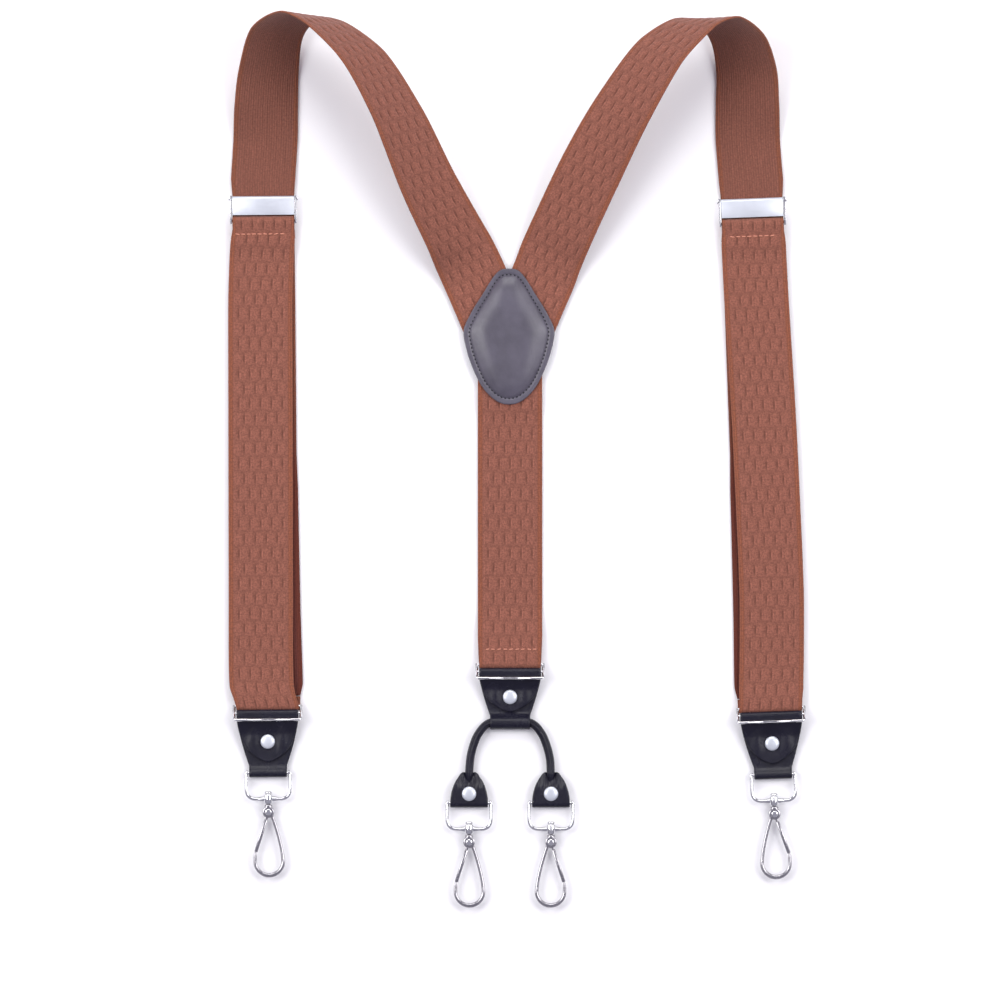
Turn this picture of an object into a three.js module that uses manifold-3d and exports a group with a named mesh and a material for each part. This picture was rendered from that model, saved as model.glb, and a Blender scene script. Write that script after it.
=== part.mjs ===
// Y-back suspenders laid flat: two webbing shoulder straps and one back strap meet under a leather
// yoke patch. Each strap ends in a slide loop, a leather tab, a D-ring and a swivel snap hook.
// Millimetres, +Z up from the surface they lie on, +Y towards the shoulders. The origin is on that
// surface, under the middle of the yoke patch.
import * as THREE from 'three';
import { mergeVertices } from 'three/addons/utils/BufferGeometryUtils.js';
import Module from 'manifold-3d';

const wasm = await Module();
wasm.setup();

// ---- Driving dimensions ----

const GAP = 0.3;              // clearance between pieces that touch on the real object
const WEB_WIDTH = 34.4;       // elastic webbing
const WEB_THICK = 1.5;
const WEB_PINCH = 1.4;        // how much narrower the webbing is squeezed in a metal frame
const FLOOR_LIFT = 0.15;      // height at which the limp webbing clears the surface
const LEATHER = 1.1;          // leather thickness
const LEATHER_SLACK = 0.2;    // between a wire and the leather folded round it

const LEG_LEFT = { side: -1, x: -131.1, y: 67.8, lean: 0.48 };   // adjuster centre, lean in degrees
const LEG_RIGHT = { side: 1, x: 129.7, y: 66.6, lean: 2.13 };
const FRONT_FOLD = -270.2;    // lower edge of the front webbing fold, from the adjuster's centre
const BACK_FOLD = -180.2;     // lower edge of the back webbing fold
const BACK_X = 0.55;          // the back strap lies this far right of the yoke's centre
const BRIDLE_HALF = 21.85;    // from the back strap's centre to each rear tab's
const RETURN_BOW = 3.1;       // how far the doubled front layer bows outward between its metal frames
const BACK_TAIL = 14.5;       // sewn tail of the back webbing, above the slide loop

const YOKE_HALF = 24.6;       // yoke patch, half its width
const YOKE_TOP = 33.8;
const YOKE_BOTTOM = 38.8;
const YOKE_BACKING = 1.2;     // thickness of the patch under the straps
const YOKE_RIM = 1.0;         // thickness of the top patch at its edge
const YOKE_DOME = 1.3;        // how far its padded middle stands above the rim
const YOKE_SLOPE = 3.0;       // width of the slope from the rim to the padded middle
const YOKE_JOINT = 6;         // under the patch, the shoulder straps end this far below its centre
const PADDING_INSET = 6.5;    // from the patch's edge to the padding's
const PADDING_THICK = 0.7;

const PLATE_HEIGHT = 10.1;    // adjuster's front plate, along the strap
const PLATE_THICK = 1.0;
const ADJUSTER_WALL = 0.9;
const ADJUSTER_BASE = 0.8;
const ADJUSTER_REACH = 4.6;   // the base plate's half height
const ADJUSTER_TOP = 5.0;     // the side walls' upper end
const ADJUSTER_BAR_Y = -8.5;  // the bar that the webbing end is sewn round
const BAR_RADIUS = 0.8;       // of that bar and of the slide loops' wire
const PIN_RADIUS = 0.6;       // lever hinge pin
const PIN_Y = 3.2;
const KNUCKLE_WALL = 0.6;
const PIN_HEAD = 1.1;
const PIN_HEAD_THICK = 0.5;
const TEETH = 12;
const TOOTH_WIDTH = 1.1;

const LOOP_TILT = 42.3;       // the slide loop leans against the leather, degrees
const LOOP_UPPER_PITCH = 5.0; // from its webbing bar to its leather bar
const LOOP_LOWER_PITCH = 4.5; // from its leather bar to its keeper bar
const LOOP_BAR_Z = 2.8;       // height of the webbing bar's centre
const LOOP_PLAY = 0.5;        // webbing's play inside the loop, each side

const RIVET_RADIUS = 3.85;
const RIVET_DOME = 1.4;
const RIVET_SHANK = 1.2;
const RIVET_FOOT = 3.6;
const RIVET_FOOT_THICK = 0.6;
const RIVET_Z = 0.1;          // underside of the rivet's foot

const TAB_RIVET = 16.2;       // front tab: from the webbing fold down to the rivet
const TAB_TIP = 27.1;         // to the flap's tip
const TAB_RING = 33.0;        // to the D-ring's bar
const BACK_TAB_RIVET = 14.6;
const BACK_TAB_TIP = 22.5;
const BACK_TAB_TUNNEL = 28.4; // to the tunnel that holds the leather cord
const TAB_END_HALF = 10.1;    // half width of a tab where it holds a D-ring
const TUNNEL_HALF = 10.7;
const HARDWARE_Z = 3.3;       // height of the D-rings' and hooks' middle plane

const CORD_RADIUS = 2.2;      // rolled leather cord
const CORD_Z = 3.75;
const CORD_SLACK = 0.35;      // between the cord and the tunnel's leather
const REAR_RING_Y = -251.5;
const REAR_RIVET = 5.1;       // from the rear D-ring's bar up to the rivet
const REAR_TAB_LENGTH = 16.6; // from the rear D-ring's bar to the tab's top

const RING_WIRE = 1.0;        // D-ring wire radius
const RING_HALF = 11.7;       // from its centre to the middle of its side wires
const RING_DEPTH = 13.9;      // from its straight bar to the middle of its lower wire
const RING_CORNER = 4.6;
const BOSS_RADIUS = 2.5;
const BOSS_HALF = 2.5;        // half the boss's length
const STEM_RADIUS = 0.9;
const CAP_RADIUS = 2.1;       // peened head above the boss
const CAP_THICK = 1.4;
const COLLAR_RADIUS = 2.2;
const COLLAR_THICK = 1.5;

const PIVOT_DROP = 6.9;       // from the D-ring's lower wire to the hook's gate pivot
const EYE_RADIUS = 3.2;
const EYE_HALF = 2.0;         // half the eye's thickness
const SLOT_HALF = 0.85;       // half the slot that the gate turns in
const SLOT_RADIUS = 2.75;
const MOUTH_EDGE = 1.5;       // how far past the pivot the slot opens, so that the gate can swing in
const ARM_WIDTH = 1.9;        // hook arm, across it
const ARM_HEIGHT = 3.2;       // hook arm, front to back
const BAY_RADIUS = 7.5;       // hook's round bottom, to the middle of its arm
const BAY_Y = -26.3;
const BAY_X = 0.2;
const NOSE_Y = -21.4;
const GATE_WIDTH = 1.5;
const GATE_HALF = 1.1;        // half the gate's thickness below the eye
const GATE_PIN = 0.85;
const GATE_BORE = 1.8;
const GATE_HEAD = 1.7;
const GATE_HEAD_THICK = 0.6;
const SPRING_OUTER = 1.5;
const SPRING_INNER = 1.15;

// Shoulder loops, walking from the front strap over the top to the yoke. Each station is the
// strap's centre x, y, z, then the heading of its outer edge and how far that edge is raised, both
// in degrees.
const LEFT_LOOP = [
  [-130.0, 102.5, 1.2, 180, 0],
  [-129.5, 121.0, 4.7, 180, 12],
  [-128.0, 139.5, 8.5, 177, 24],
  [-123.0, 159.5, 19.5, 172, 38],
  [-111.0, 167.5, 30.5, 172, 54],
  [-98.0, 163.5, 34.5, 188, 57],
  [-78.0, 146.5, 34.0, 197, 49],
  [-60.0, 117.0, 29.5, 196, 41],
  [-43.0, 79.0, 20.0, 199, 29],
  [-27.0, 48.0, 8.5, 202, 16],
  [-22.5, 38.5, 4.0, 202, 5],
];
const RIGHT_LOOP = [
  [127.5, 102.5, 1.2, 0, 0],
  [127.2, 122.0, 4.7, 0, 12],
  [126.5, 139.5, 8.5, 2, 22],
  [121.5, 156.0, 19.0, 6, 36],
  [111.0, 165.0, 29.5, 6, 50],
  [99.5, 164.0, 34.0, -12, 51],
  [81.0, 149.0, 34.0, -30, 42],
  [60.5, 118.0, 28.5, -29, 27],
  [43.5, 86.0, 19.0, -26, 12],
  [27.5, 52.0, 8.5, -24, 8],
  [22.5, 40.5, 4.0, -23, 3],
];

// ---- Values worked out from them ----

const YOKE_WEB_Z = YOKE_BACKING + GAP + WEB_THICK / 2;
const PATCH_Z = YOKE_BACKING + 2 * GAP + WEB_THICK;
const FLOOR_WEB_Z = WEB_THICK / 2 + FLOOR_LIFT;
const SECOND_WEB_Z = FLOOR_WEB_Z + WEB_THICK + GAP;
const CLAMP_WEB_Z = ADJUSTER_BASE + GAP + WEB_THICK / 2;
const PINCHED = WEB_WIDTH - WEB_PINCH;
const FOLD_RADIUS = BAR_RADIUS + GAP + WEB_THICK / 2;
const FOLD_OUTER = FOLD_RADIUS + WEB_THICK / 2;
const ADJUSTER_BAR_Z = SECOND_WEB_Z + FOLD_RADIUS;
const WALL_INNER = PINCHED / 2 + GAP;
const WALL_OUTER = WALL_INNER + ADJUSTER_WALL;
const KNUCKLE_RADIUS = PIN_RADIUS + GAP + KNUCKLE_WALL;
const PIN_Z = CLAMP_WEB_Z + WEB_THICK / 2 + GAP + KNUCKLE_RADIUS;
const PLATE_TOP = PIN_Z + KNUCKLE_RADIUS;
const LOOP_HALF = PINCHED / 2 + LOOP_PLAY + BAR_RADIUS;
const TAB_HALF = PINCHED / 2;
const RETURN_Z = RIVET_Z + RIVET_FOOT_THICK + GAP + LEATHER / 2;
const BASE_Z = RETURN_Z + LEATHER + GAP;
const FLAP_Z = BASE_Z + LEATHER + GAP;
const RING_ROLL = RING_WIRE + LEATHER_SLACK + LEATHER / 2;
const REAR_TAB_Z = HARDWARE_Z + RING_ROLL;
const LOOP_ROLL = BAR_RADIUS + LEATHER_SLACK + LEATHER / 2;
const CORD_ROLL = CORD_RADIUS + CORD_SLACK + LEATHER / 2;

// ---- Materials ----

const webbing = new THREE.MeshStandardMaterial({ color: 0x945a4a, roughness: 0.85, metalness: 0 });
const yokeLeather = new THREE.MeshStandardMaterial({ color: 0x56525e, roughness: 0.4, metalness: 0 });
const leather = new THREE.MeshStandardMaterial({ color: 0x2a2833, roughness: 0.35, metalness: 0 });
const felt = new THREE.MeshStandardMaterial({ color: 0x77726e, roughness: 0.95, metalness: 0 });
const nickel = new THREE.MeshStandardMaterial({ color: 0xd8d8dc, roughness: 0.15, metalness: 1 });

// ---- Solids ----

function solid(geometry) {
  const bare = geometry.index ? geometry.toNonIndexed() : geometry.clone();
  bare.deleteAttribute('normal');
  bare.deleteAttribute('uv');
  const welded = mergeVertices(bare, 1e-4);
  return new wasm.Manifold(new wasm.Mesh({
    numProp: 3,
    vertProperties: new Float32Array(welded.attributes.position.array),
    triVerts: new Uint32Array(welded.index.array),
  }));
}

function join(...solids) {
  return solids.reduce((all, next) => all.add(next));
}

function piece(name, shape, material) {
  let geometry = shape;
  if (!shape.isBufferGeometry) {
    const mesh = shape.getMesh();
    geometry = new THREE.BufferGeometry();
    geometry.setAttribute('position', new THREE.BufferAttribute(mesh.vertProperties, 3));
    geometry.setIndex(new THREE.BufferAttribute(mesh.triVerts, 1));
    geometry.computeVertexNormals();
  }
  const made = new THREE.Mesh(geometry, material);
  made.name = name;
  return made;
}

// A side view outline, drawn along Y and up Z, made solid across X.
function crossways(outline, width) {
  const geometry = new THREE.ExtrudeGeometry(outline, { depth: width, bevelEnabled: false });
  geometry.translate(0, 0, -width / 2);
  geometry.applyMatrix4(new THREE.Matrix4().makeBasis(
    new THREE.Vector3(0, 1, 0),
    new THREE.Vector3(0, 0, 1),
    new THREE.Vector3(1, 0, 0),
  ));
  return solid(geometry);
}

function upright(outline, low, high) {
  const geometry = new THREE.ExtrudeGeometry(outline, {
    depth: high - low,
    bevelEnabled: false,
    curveSegments: 3,
  });
  return solid(geometry.translate(0, 0, low));
}

function block(x0, x1, y0, y1, z0, z1) {
  const geometry = new THREE.BoxGeometry(x1 - x0, y1 - y0, z1 - z0);
  return solid(geometry.translate((x0 + x1) / 2, (y0 + y1) / 2, (z0 + z1) / 2));
}

function barAlongX(radius, half, y, z, sides = 8) {
  const geometry = new THREE.CylinderGeometry(radius, radius, 2 * half, sides);
  return solid(geometry.rotateZ(Math.PI / 2).translate(0, y, z));
}

function barAlongY(radius, y0, y1, sides = 10) {
  const geometry = new THREE.CylinderGeometry(radius, radius, y1 - y0, sides);
  return solid(geometry.translate(0, (y0 + y1) / 2, 0));
}

function barAlongZ(radius, z0, z1, x = 0, y = 0, sides = 10) {
  const geometry = new THREE.CylinderGeometry(radius, radius, z1 - z0, sides);
  return solid(geometry.rotateX(Math.PI / 2).translate(x, y, (z0 + z1) / 2));
}

// Points on an arc in the side view, from one angle to another in degrees, 0 along +Y, 90 up.
function arc(y, z, radius, from, to, count) {
  return Array.from({ length: count }, (_, i) => {
    const angle = THREE.MathUtils.degToRad(from + ((to - from) * i) / (count - 1));
    return [y + radius * Math.cos(angle), z + radius * Math.sin(angle)];
  });
}

// Points on the turn that a strip makes round a bar's far side, between two points it runs straight to.
function wrap(from, centre, radius, to, count) {
  const touching = (point, sign) => {
    const [y, z] = [point[0] - centre[0], point[1] - centre[1]];
    return THREE.MathUtils.radToDeg(Math.atan2(z, y) + sign * Math.acos(radius / Math.hypot(y, z)));
  };
  return [from, ...arc(...centre, radius, touching(from, 1), 360 + touching(to, -1), count), to];
}

// A strip of even thickness that follows points in the side view.
function strip(points, thickness, width) {
  const line = points.map(([y, z]) => new THREE.Vector2(y, z));
  const above = [];
  const below = [];
  line.forEach((at, i) => {
    const before = i > 0 ? at.clone().sub(line[i - 1]).normalize() : null;
    const after = i < line.length - 1 ? line[i + 1].clone().sub(at).normalize() : null;
    const along = (before || after).clone().add(after || before).normalize();
    const bend = before && after ? along.dot(before) : 1;
    const offset = new THREE.Vector2(-along.y, along.x).multiplyScalar(thickness / 2 / bend);
    above.push(at.clone().add(offset));
    below.unshift(at.clone().sub(offset));
  });
  return crossways(new THREE.Shape([...above, ...below]), width);
}

// A Bezier segment from each point to the next, with handles no longer than a third of the shorter
// neighbouring segment, so that a long straight run doesn't swing past its end.
function gentleCurve(points) {
  const spans = points.slice(1).map((p, i) => p.clone().sub(points[i]));
  const handles = points.map((_, i) => {
    const before = spans[Math.max(i - 1, 0)];
    const after = spans[Math.min(i, spans.length - 1)];
    const direction = before.clone().normalize().add(after.clone().normalize()).normalize();
    return direction.multiplyScalar(Math.min(before.length(), after.length()) / 3);
  });
  return spans.map((_, i) => new THREE.CubicBezierCurve3(
    points[i],
    points[i].clone().add(handles[i]),
    points[i + 1].clone().sub(handles[i + 1]),
    points[i + 1],
  ));
}

// Webbing that follows stations of { at, across, width }, across being a unit vector.
function ribbon(stations, stepsEach) {
  const steps = (stations.length - 1) * stepsEach;
  const middle = gentleCurve(stations.map((s) => s.at));
  const geometry = new THREE.BoxGeometry(1, 1, 1, 1, steps, 1);
  const position = geometry.attributes.position;
  for (let i = 0; i < position.count; i += 1) {
    const t = THREE.MathUtils.clamp(position.getY(i) + 0.5, 0, 1);
    const place = t * (stations.length - 1);
    const first = Math.min(Math.floor(place), stations.length - 2);
    const share = place - first;
    const width = THREE.MathUtils.lerp(stations[first].width, stations[first + 1].width, share);
    const across = stations[first].across.clone().lerp(stations[first + 1].across, share).normalize();
    const normal = across.clone().cross(middle[first].getTangent(share)).normalize();
    const point = middle[first].getPoint(share)
      .addScaledVector(across, position.getX(i) * width)
      .addScaledVector(normal, position.getZ(i) * WEB_THICK);
    position.setXYZ(i, point.x, point.y, point.z);
  }
  return solid(geometry);
}

// Stations for a strap that lies along Y with its width across X.
function flatStations(points, x, width) {
  return points.map(([y, z], i) => ({
    at: new THREE.Vector3(Array.isArray(x) ? x[i] : x, y, z),
    across: new THREE.Vector3(1, 0, 0),
    width: Array.isArray(width) ? width[i] : width,
  }));
}

// ---- Yoke ----

function yokeOutline(inset) {
  const half = YOKE_HALF - inset;
  const top = YOKE_TOP - inset;
  const bottom = YOKE_BOTTOM - inset;
  const outline = new THREE.Shape();
  outline.moveTo(-0.26 * half, top);
  outline.lineTo(0.26 * half, top);
  outline.quadraticCurveTo(0.52 * half, 0.95 * top, 0.6 * half, 0.7 * top);
  outline.quadraticCurveTo(0.8 * half, 0.32 * top, half, 0.06 * top);
  outline.quadraticCurveTo(1.02 * half, -0.06 * bottom, 0.93 * half, -0.3 * bottom);
  outline.quadraticCurveTo(0.72 * half, -0.62 * bottom, 0.5 * half, -0.84 * bottom);
  outline.quadraticCurveTo(0.3 * half, -bottom, 0, -bottom);
  outline.quadraticCurveTo(-0.3 * half, -bottom, -0.5 * half, -0.84 * bottom);
  outline.quadraticCurveTo(-0.72 * half, -0.62 * bottom, -0.93 * half, -0.3 * bottom);
  outline.quadraticCurveTo(-1.02 * half, -0.06 * bottom, -half, 0.06 * top);
  outline.quadraticCurveTo(-0.8 * half, 0.32 * top, -0.6 * half, 0.7 * top);
  outline.quadraticCurveTo(-0.52 * half, 0.95 * top, -0.26 * half, top);
  return outline;
}

function yokePatchFront() {
  const levels = 2;
  const rim = upright(yokeOutline(0), PATCH_Z, PATCH_Z + YOKE_RIM);
  const terraces = Array.from({ length: levels }, (_, i) => {
    const angle = ((i + 1) / levels) * (Math.PI / 2);
    const inset = YOKE_SLOPE * (1 - Math.cos(angle));
    const high = PATCH_Z + YOKE_RIM + YOKE_DOME * Math.sin(angle);
    return upright(yokeOutline(inset), PATCH_Z + YOKE_RIM / 2, high);
  });
  const pocket = upright(yokeOutline(PADDING_INSET - GAP), PATCH_Z - 1, PATCH_Z + PADDING_THICK + 2 * GAP);
  return join(rim, ...terraces).subtract(pocket);
}

function makeYoke() {
  const padding = upright(yokeOutline(PADDING_INSET), PATCH_Z + GAP, PATCH_Z + GAP + PADDING_THICK);
  return [
    piece('yoke_patch_front', yokePatchFront(), yokeLeather),
    piece('yoke_padding', padding, felt),
    piece('yoke_patch_back', upright(yokeOutline(0), 0, YOKE_BACKING), yokeLeather),
  ];
}

// ---- Webbing ----

// From the yoke over the shoulder, through the adjuster and down behind to the slide loop. The two
// straps are mitred where they meet under the patch.
function shoulderStrap(leg, loop) {
  const turn = THREE.MathUtils.degToRad(leg.lean);
  const outward = new THREE.Vector3(Math.cos(turn), Math.sin(turn), 0).multiplyScalar(leg.side);
  const barY = FRONT_FOLD + FOLD_OUTER;
  const down = [
    [14, CLAMP_WEB_Z, 0],
    [ADJUSTER_TOP, CLAMP_WEB_Z, 0],
    [-ADJUSTER_REACH, CLAMP_WEB_Z, 0],
    [ADJUSTER_BAR_Y, FLOOR_WEB_Z, 0],
    [ADJUSTER_BAR_Y - 6, FLOOR_WEB_Z, 0],
    [-70, FLOOR_WEB_Z, 0.4],
    [-150, FLOOR_WEB_Z, 0],
    [-215, FLOOR_WEB_Z, -0.8],
    [barY + 12, FLOOR_WEB_Z, -1.5],
    [barY + 5.5, LOOP_BAR_Z - FOLD_RADIUS, -0.5],
  ];
  const pinchedRows = [1, 2, 3, down.length - 1];
  const straight = down.map(([y, z, out], i) => ({
    at: new THREE.Vector3(
      leg.x + Math.cos(turn) * out * leg.side - Math.sin(turn) * y,
      leg.y + Math.sin(turn) * out * leg.side + Math.cos(turn) * y,
      z,
    ),
    across: outward.clone(),
    width: pinchedRows.includes(i) ? PINCHED : WEB_WIDTH,
  }));
  const shoulder = loop.map(([x, y, z, heading, raised]) => {
    const yaw = THREE.MathUtils.degToRad(heading);
    const lift = THREE.MathUtils.degToRad(raised);
    return {
      at: new THREE.Vector3(x, y, z),
      across: new THREE.Vector3(
        Math.cos(yaw) * Math.cos(lift),
        Math.sin(yaw) * Math.cos(lift),
        Math.sin(lift),
      ),
      width: WEB_WIDTH,
    };
  });
  const last = shoulder[shoulder.length - 1];
  const entry = last.across.clone().setZ(0).normalize();
  const underPatch = [[18.6, 30], [10.2, 10.5], [1.6, -11]].map(([x, y]) => ({
    at: new THREE.Vector3(x * leg.side, y, YOKE_WEB_Z),
    across: entry.clone(),
    width: WEB_WIDTH,
  }));
  const whole = ribbon([...underPatch.reverse(), ...shoulder.reverse(), ...straight], 3);
  const side = leg.side;
  const ownHalf = block(...[side * GAP / 2, side * 400].sort((a, b) => a - b), -400, 400, -10, 200);
  const belowMitre = block(-60, 60, -60, -YOKE_JOINT, -10, 10);
  return whole.intersect(ownHalf).subtract(belowMitre);
}

// The doubled front layer: round the slide loop, up over the strap and round the adjuster's bar.
function strapReturn(side) {
  const barY = FRONT_FOLD + FOLD_OUTER;
  const points = [
    [barY + 5.2, LOOP_BAR_Z - FOLD_RADIUS],
    ...arc(barY, LOOP_BAR_Z, FOLD_RADIUS, 270, 90, 6),
    [barY + 5, LOOP_BAR_Z + FOLD_RADIUS - 0.1],
    [barY + 16, SECOND_WEB_Z + 0.5],
    [barY + 28, SECOND_WEB_Z],
    [-205, SECOND_WEB_Z],
    [-120, SECOND_WEB_Z],
    [-50, SECOND_WEB_Z],
    [-27, SECOND_WEB_Z + 0.2],
    [-19.5, SECOND_WEB_Z + WEB_THICK + GAP],
    [-14.5, SECOND_WEB_Z + WEB_THICK + 2.5 * GAP],
    ...arc(ADJUSTER_BAR_Y, ADJUSTER_BAR_Z, FOLD_RADIUS, 100, -90, 6),
    [ADJUSTER_BAR_Y - 4, SECOND_WEB_Z],
    [ADJUSTER_BAR_Y - 9.5, SECOND_WEB_Z],
  ];
  const bow = (y) => {
    const share = THREE.MathUtils.clamp(y / barY, 0, 1);
    return side * RETURN_BOW * Math.sin(Math.PI * share ** 1.7);
  };
  const nearMetal = (y) => y < barY + 6 || y > ADJUSTER_BAR_Y - 6.5;
  const x = points.map(([y]) => bow(y));
  const width = points.map(([y]) => (nearMetal(y) ? PINCHED : WEB_WIDTH));
  return ribbon(flatStations(points, x, width), 2);
}

function backStrap() {
  const barY = BACK_FOLD + FOLD_OUTER;
  const tailEnd = barY + BACK_TAIL;
  const points = [
    [-YOKE_JOINT - GAP, YOKE_WEB_Z],
    [-YOKE_BOTTOM + 1, YOKE_WEB_Z],
    [-YOKE_BOTTOM - 9, FLOOR_WEB_Z],
    [-90, FLOOR_WEB_Z],
    [tailEnd + 16, FLOOR_WEB_Z],
    [tailEnd + 1, SECOND_WEB_Z + 0.4],
    [barY + 6, SECOND_WEB_Z + 1.4],
    ...arc(barY, LOOP_BAR_Z, FOLD_RADIUS, 90, 270, 6),
    [tailEnd, LOOP_BAR_Z - FOLD_RADIUS],
  ];
  const width = points.map(([y]) => (y < barY + 7 ? PINCHED : WEB_WIDTH));
  return ribbon(flatStations(points, BACK_X, width), 2);
}

// ---- Adjuster ----

function adjusterFrame() {
  const base = block(-WALL_OUTER, WALL_OUTER, -ADJUSTER_REACH, ADJUSTER_REACH, 0, ADJUSTER_BASE);
  const low = ADJUSTER_BAR_Y - 2 * BAR_RADIUS;
  const wallOutline = new THREE.Shape([
    new THREE.Vector2(-ADJUSTER_REACH, 0),
    new THREE.Vector2(ADJUSTER_TOP, 0),
    new THREE.Vector2(ADJUSTER_TOP, PLATE_TOP),
    new THREE.Vector2(low, PLATE_TOP),
    new THREE.Vector2(low, ADJUSTER_BAR_Z - 2 * BAR_RADIUS),
    new THREE.Vector2(-ADJUSTER_REACH - 1.4, ADJUSTER_BAR_Z - 2 * BAR_RADIUS),
  ]);
  const walls = [-1, 1].map((side) => {
    const middle = (side * (WALL_INNER + WALL_OUTER)) / 2;
    return crossways(wallOutline, ADJUSTER_WALL).translate([middle, 0, 0]);
  });
  const bar = barAlongX(BAR_RADIUS, WALL_INNER + ADJUSTER_WALL / 2, ADJUSTER_BAR_Y, ADJUSTER_BAR_Z);
  const pinHole = barAlongX(PIN_RADIUS + GAP, WALL_OUTER + 1, PIN_Y, PIN_Z);
  return join(base, ...walls, bar).subtract(pinHole);
}

function adjusterLever() {
  const half = WALL_INNER - GAP;
  const top = PIN_Y + KNUCKLE_RADIUS;
  const plate = block(-half, half, top - PLATE_HEIGHT, PIN_Y, PLATE_TOP - PLATE_THICK, PLATE_TOP);
  const knuckle = barAlongX(KNUCKLE_RADIUS, half, PIN_Y, PIN_Z, 10);
  const pitch = (2 * half) / TEETH;
  const strapTop = CLAMP_WEB_Z + WEB_THICK / 2;
  const teeth = Array.from({ length: TEETH }, (_, i) => {
    const x = -half + pitch * (i + 0.5);
    const low = strapTop + GAP;
    return block(x - TOOTH_WIDTH / 2, x + TOOTH_WIDTH / 2, -1.5, -0.5, low, PLATE_TOP - PLATE_THICK / 2);
  });
  const bore = barAlongX(PIN_RADIUS + GAP, half + 1, PIN_Y, PIN_Z);
  return join(plate, knuckle, ...teeth).subtract(bore);
}

function adjusterPin() {
  const headFrom = WALL_OUTER + GAP;
  const heads = [-1, 1].map((side) => (
    barAlongX(PIN_HEAD, PIN_HEAD_THICK / 2, PIN_Y, PIN_Z)
      .translate([side * (headFrom + PIN_HEAD_THICK / 2), 0, 0])
  ));
  return join(barAlongX(PIN_RADIUS, headFrom + PIN_HEAD_THICK / 2, PIN_Y, PIN_Z), ...heads);
}

// ---- Slide loop ----

// Centres of its three cross bars, [y, z], for a webbing fold whose lower edge is at foldY.
function loopBars(foldY) {
  const tilt = THREE.MathUtils.degToRad(LOOP_TILT);
  const top = foldY + FOLD_OUTER;
  return [0, LOOP_UPPER_PITCH, LOOP_UPPER_PITCH + LOOP_LOWER_PITCH].map((along) => (
    [top - along * Math.cos(tilt), LOOP_BAR_Z + along * Math.sin(tilt)]
  ));
}

function slideLoop(foldY) {
  const bars = loopBars(foldY);
  const [top, , keeper] = bars;
  const length = Math.hypot(keeper[0] - top[0], keeper[1] - top[1]);
  const sides = [-1, 1].map((side) => {
    const geometry = new THREE.CapsuleGeometry(BAR_RADIUS, length, 2, 8);
    geometry.rotateX(-THREE.MathUtils.degToRad(LOOP_TILT));
    geometry.translate(side * LOOP_HALF, (top[0] + keeper[0]) / 2, (top[1] + keeper[1]) / 2);
    return solid(geometry);
  });
  return join(...bars.map(([y, z]) => barAlongX(BAR_RADIUS, LOOP_HALF, y, z)), ...sides);
}

// ---- Leather tabs ----

function tabOutline(foldY, narrowY, endY, endHalf) {
  const wide = foldY - 3.5;
  const outline = new THREE.Shape();
  outline.moveTo(-TAB_HALF, foldY + 8);
  outline.lineTo(-TAB_HALF, wide);
  outline.quadraticCurveTo(-TAB_HALF + 1.2, (wide + narrowY) / 2 + 2, -endHalf, narrowY);
  outline.lineTo(-endHalf, endY);
  outline.lineTo(endHalf, endY);
  outline.lineTo(endHalf, narrowY);
  outline.quadraticCurveTo(TAB_HALF - 1.2, (wide + narrowY) / 2 + 2, TAB_HALF, wide);
  outline.lineTo(TAB_HALF, foldY + 8);
  return outline;
}

function flapOutline(foldY, tipY) {
  const shoulder = foldY - 0.45 * (foldY - tipY);
  const outline = new THREE.Shape();
  outline.moveTo(-TAB_HALF, foldY + 8);
  outline.lineTo(-TAB_HALF, foldY - 3.5);
  outline.quadraticCurveTo(-TAB_HALF + 0.6, shoulder, -0.72 * TAB_HALF, shoulder - 4.5);
  outline.quadraticCurveTo(-0.42 * TAB_HALF, tipY + 3, 0, tipY);
  outline.quadraticCurveTo(0.42 * TAB_HALF, tipY + 3, 0.72 * TAB_HALF, shoulder - 4.5);
  outline.quadraticCurveTo(TAB_HALF - 0.6, shoulder, TAB_HALF, foldY - 3.5);
  outline.lineTo(TAB_HALF, foldY + 8);
  return outline;
}

// One strip of leather: flap, over the loop's middle bar, down behind, round its own lower roll
// and back up under the rivet.
function leatherTab(foldY, tipY, rivetY, narrowY, lower, endHalf) {
  const [, middle, keeper] = loopBars(foldY);
  const roots = lower.y + lower.radius + 2.4;
  const flap = [
    [tipY, FLAP_Z],
    [rivetY + RIVET_RADIUS + GAP, FLAP_Z],
    [keeper[0] - 2.2, FLAP_Z + 1.9],
    [keeper[0], keeper[1] - BAR_RADIUS - LEATHER_SLACK - LEATHER / 2 - 0.4],
    ...arc(middle[0], middle[1], LOOP_ROLL, 100, -20, 5),
  ];
  const behind = [
    ...arc(middle[0], middle[1], LOOP_ROLL, 20, -90, 5),
    [middle[0] - 4.5, BASE_Z + 0.6],
    [middle[0] - 9, BASE_Z],
    ...wrap([roots, BASE_Z], [lower.y, lower.z], lower.radius, [roots, RETURN_Z], 8),
    [rivetY + 5, RETURN_Z],
  ];
  const wide = 2 * TAB_HALF;
  const lowerEnd = lower.y - lower.radius - LEATHER;
  const front = strip(flap, LEATHER, wide).intersect(upright(flapOutline(foldY, tipY), 0, 20));
  const back = strip(behind, LEATHER, wide)
    .intersect(upright(tabOutline(foldY, narrowY, lowerEnd, endHalf), -5, 20));
  const hole = barAlongZ(RIVET_SHANK + GAP, -5, 20, 0, rivetY);
  return join(front, back).subtract(hole);
}

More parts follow.
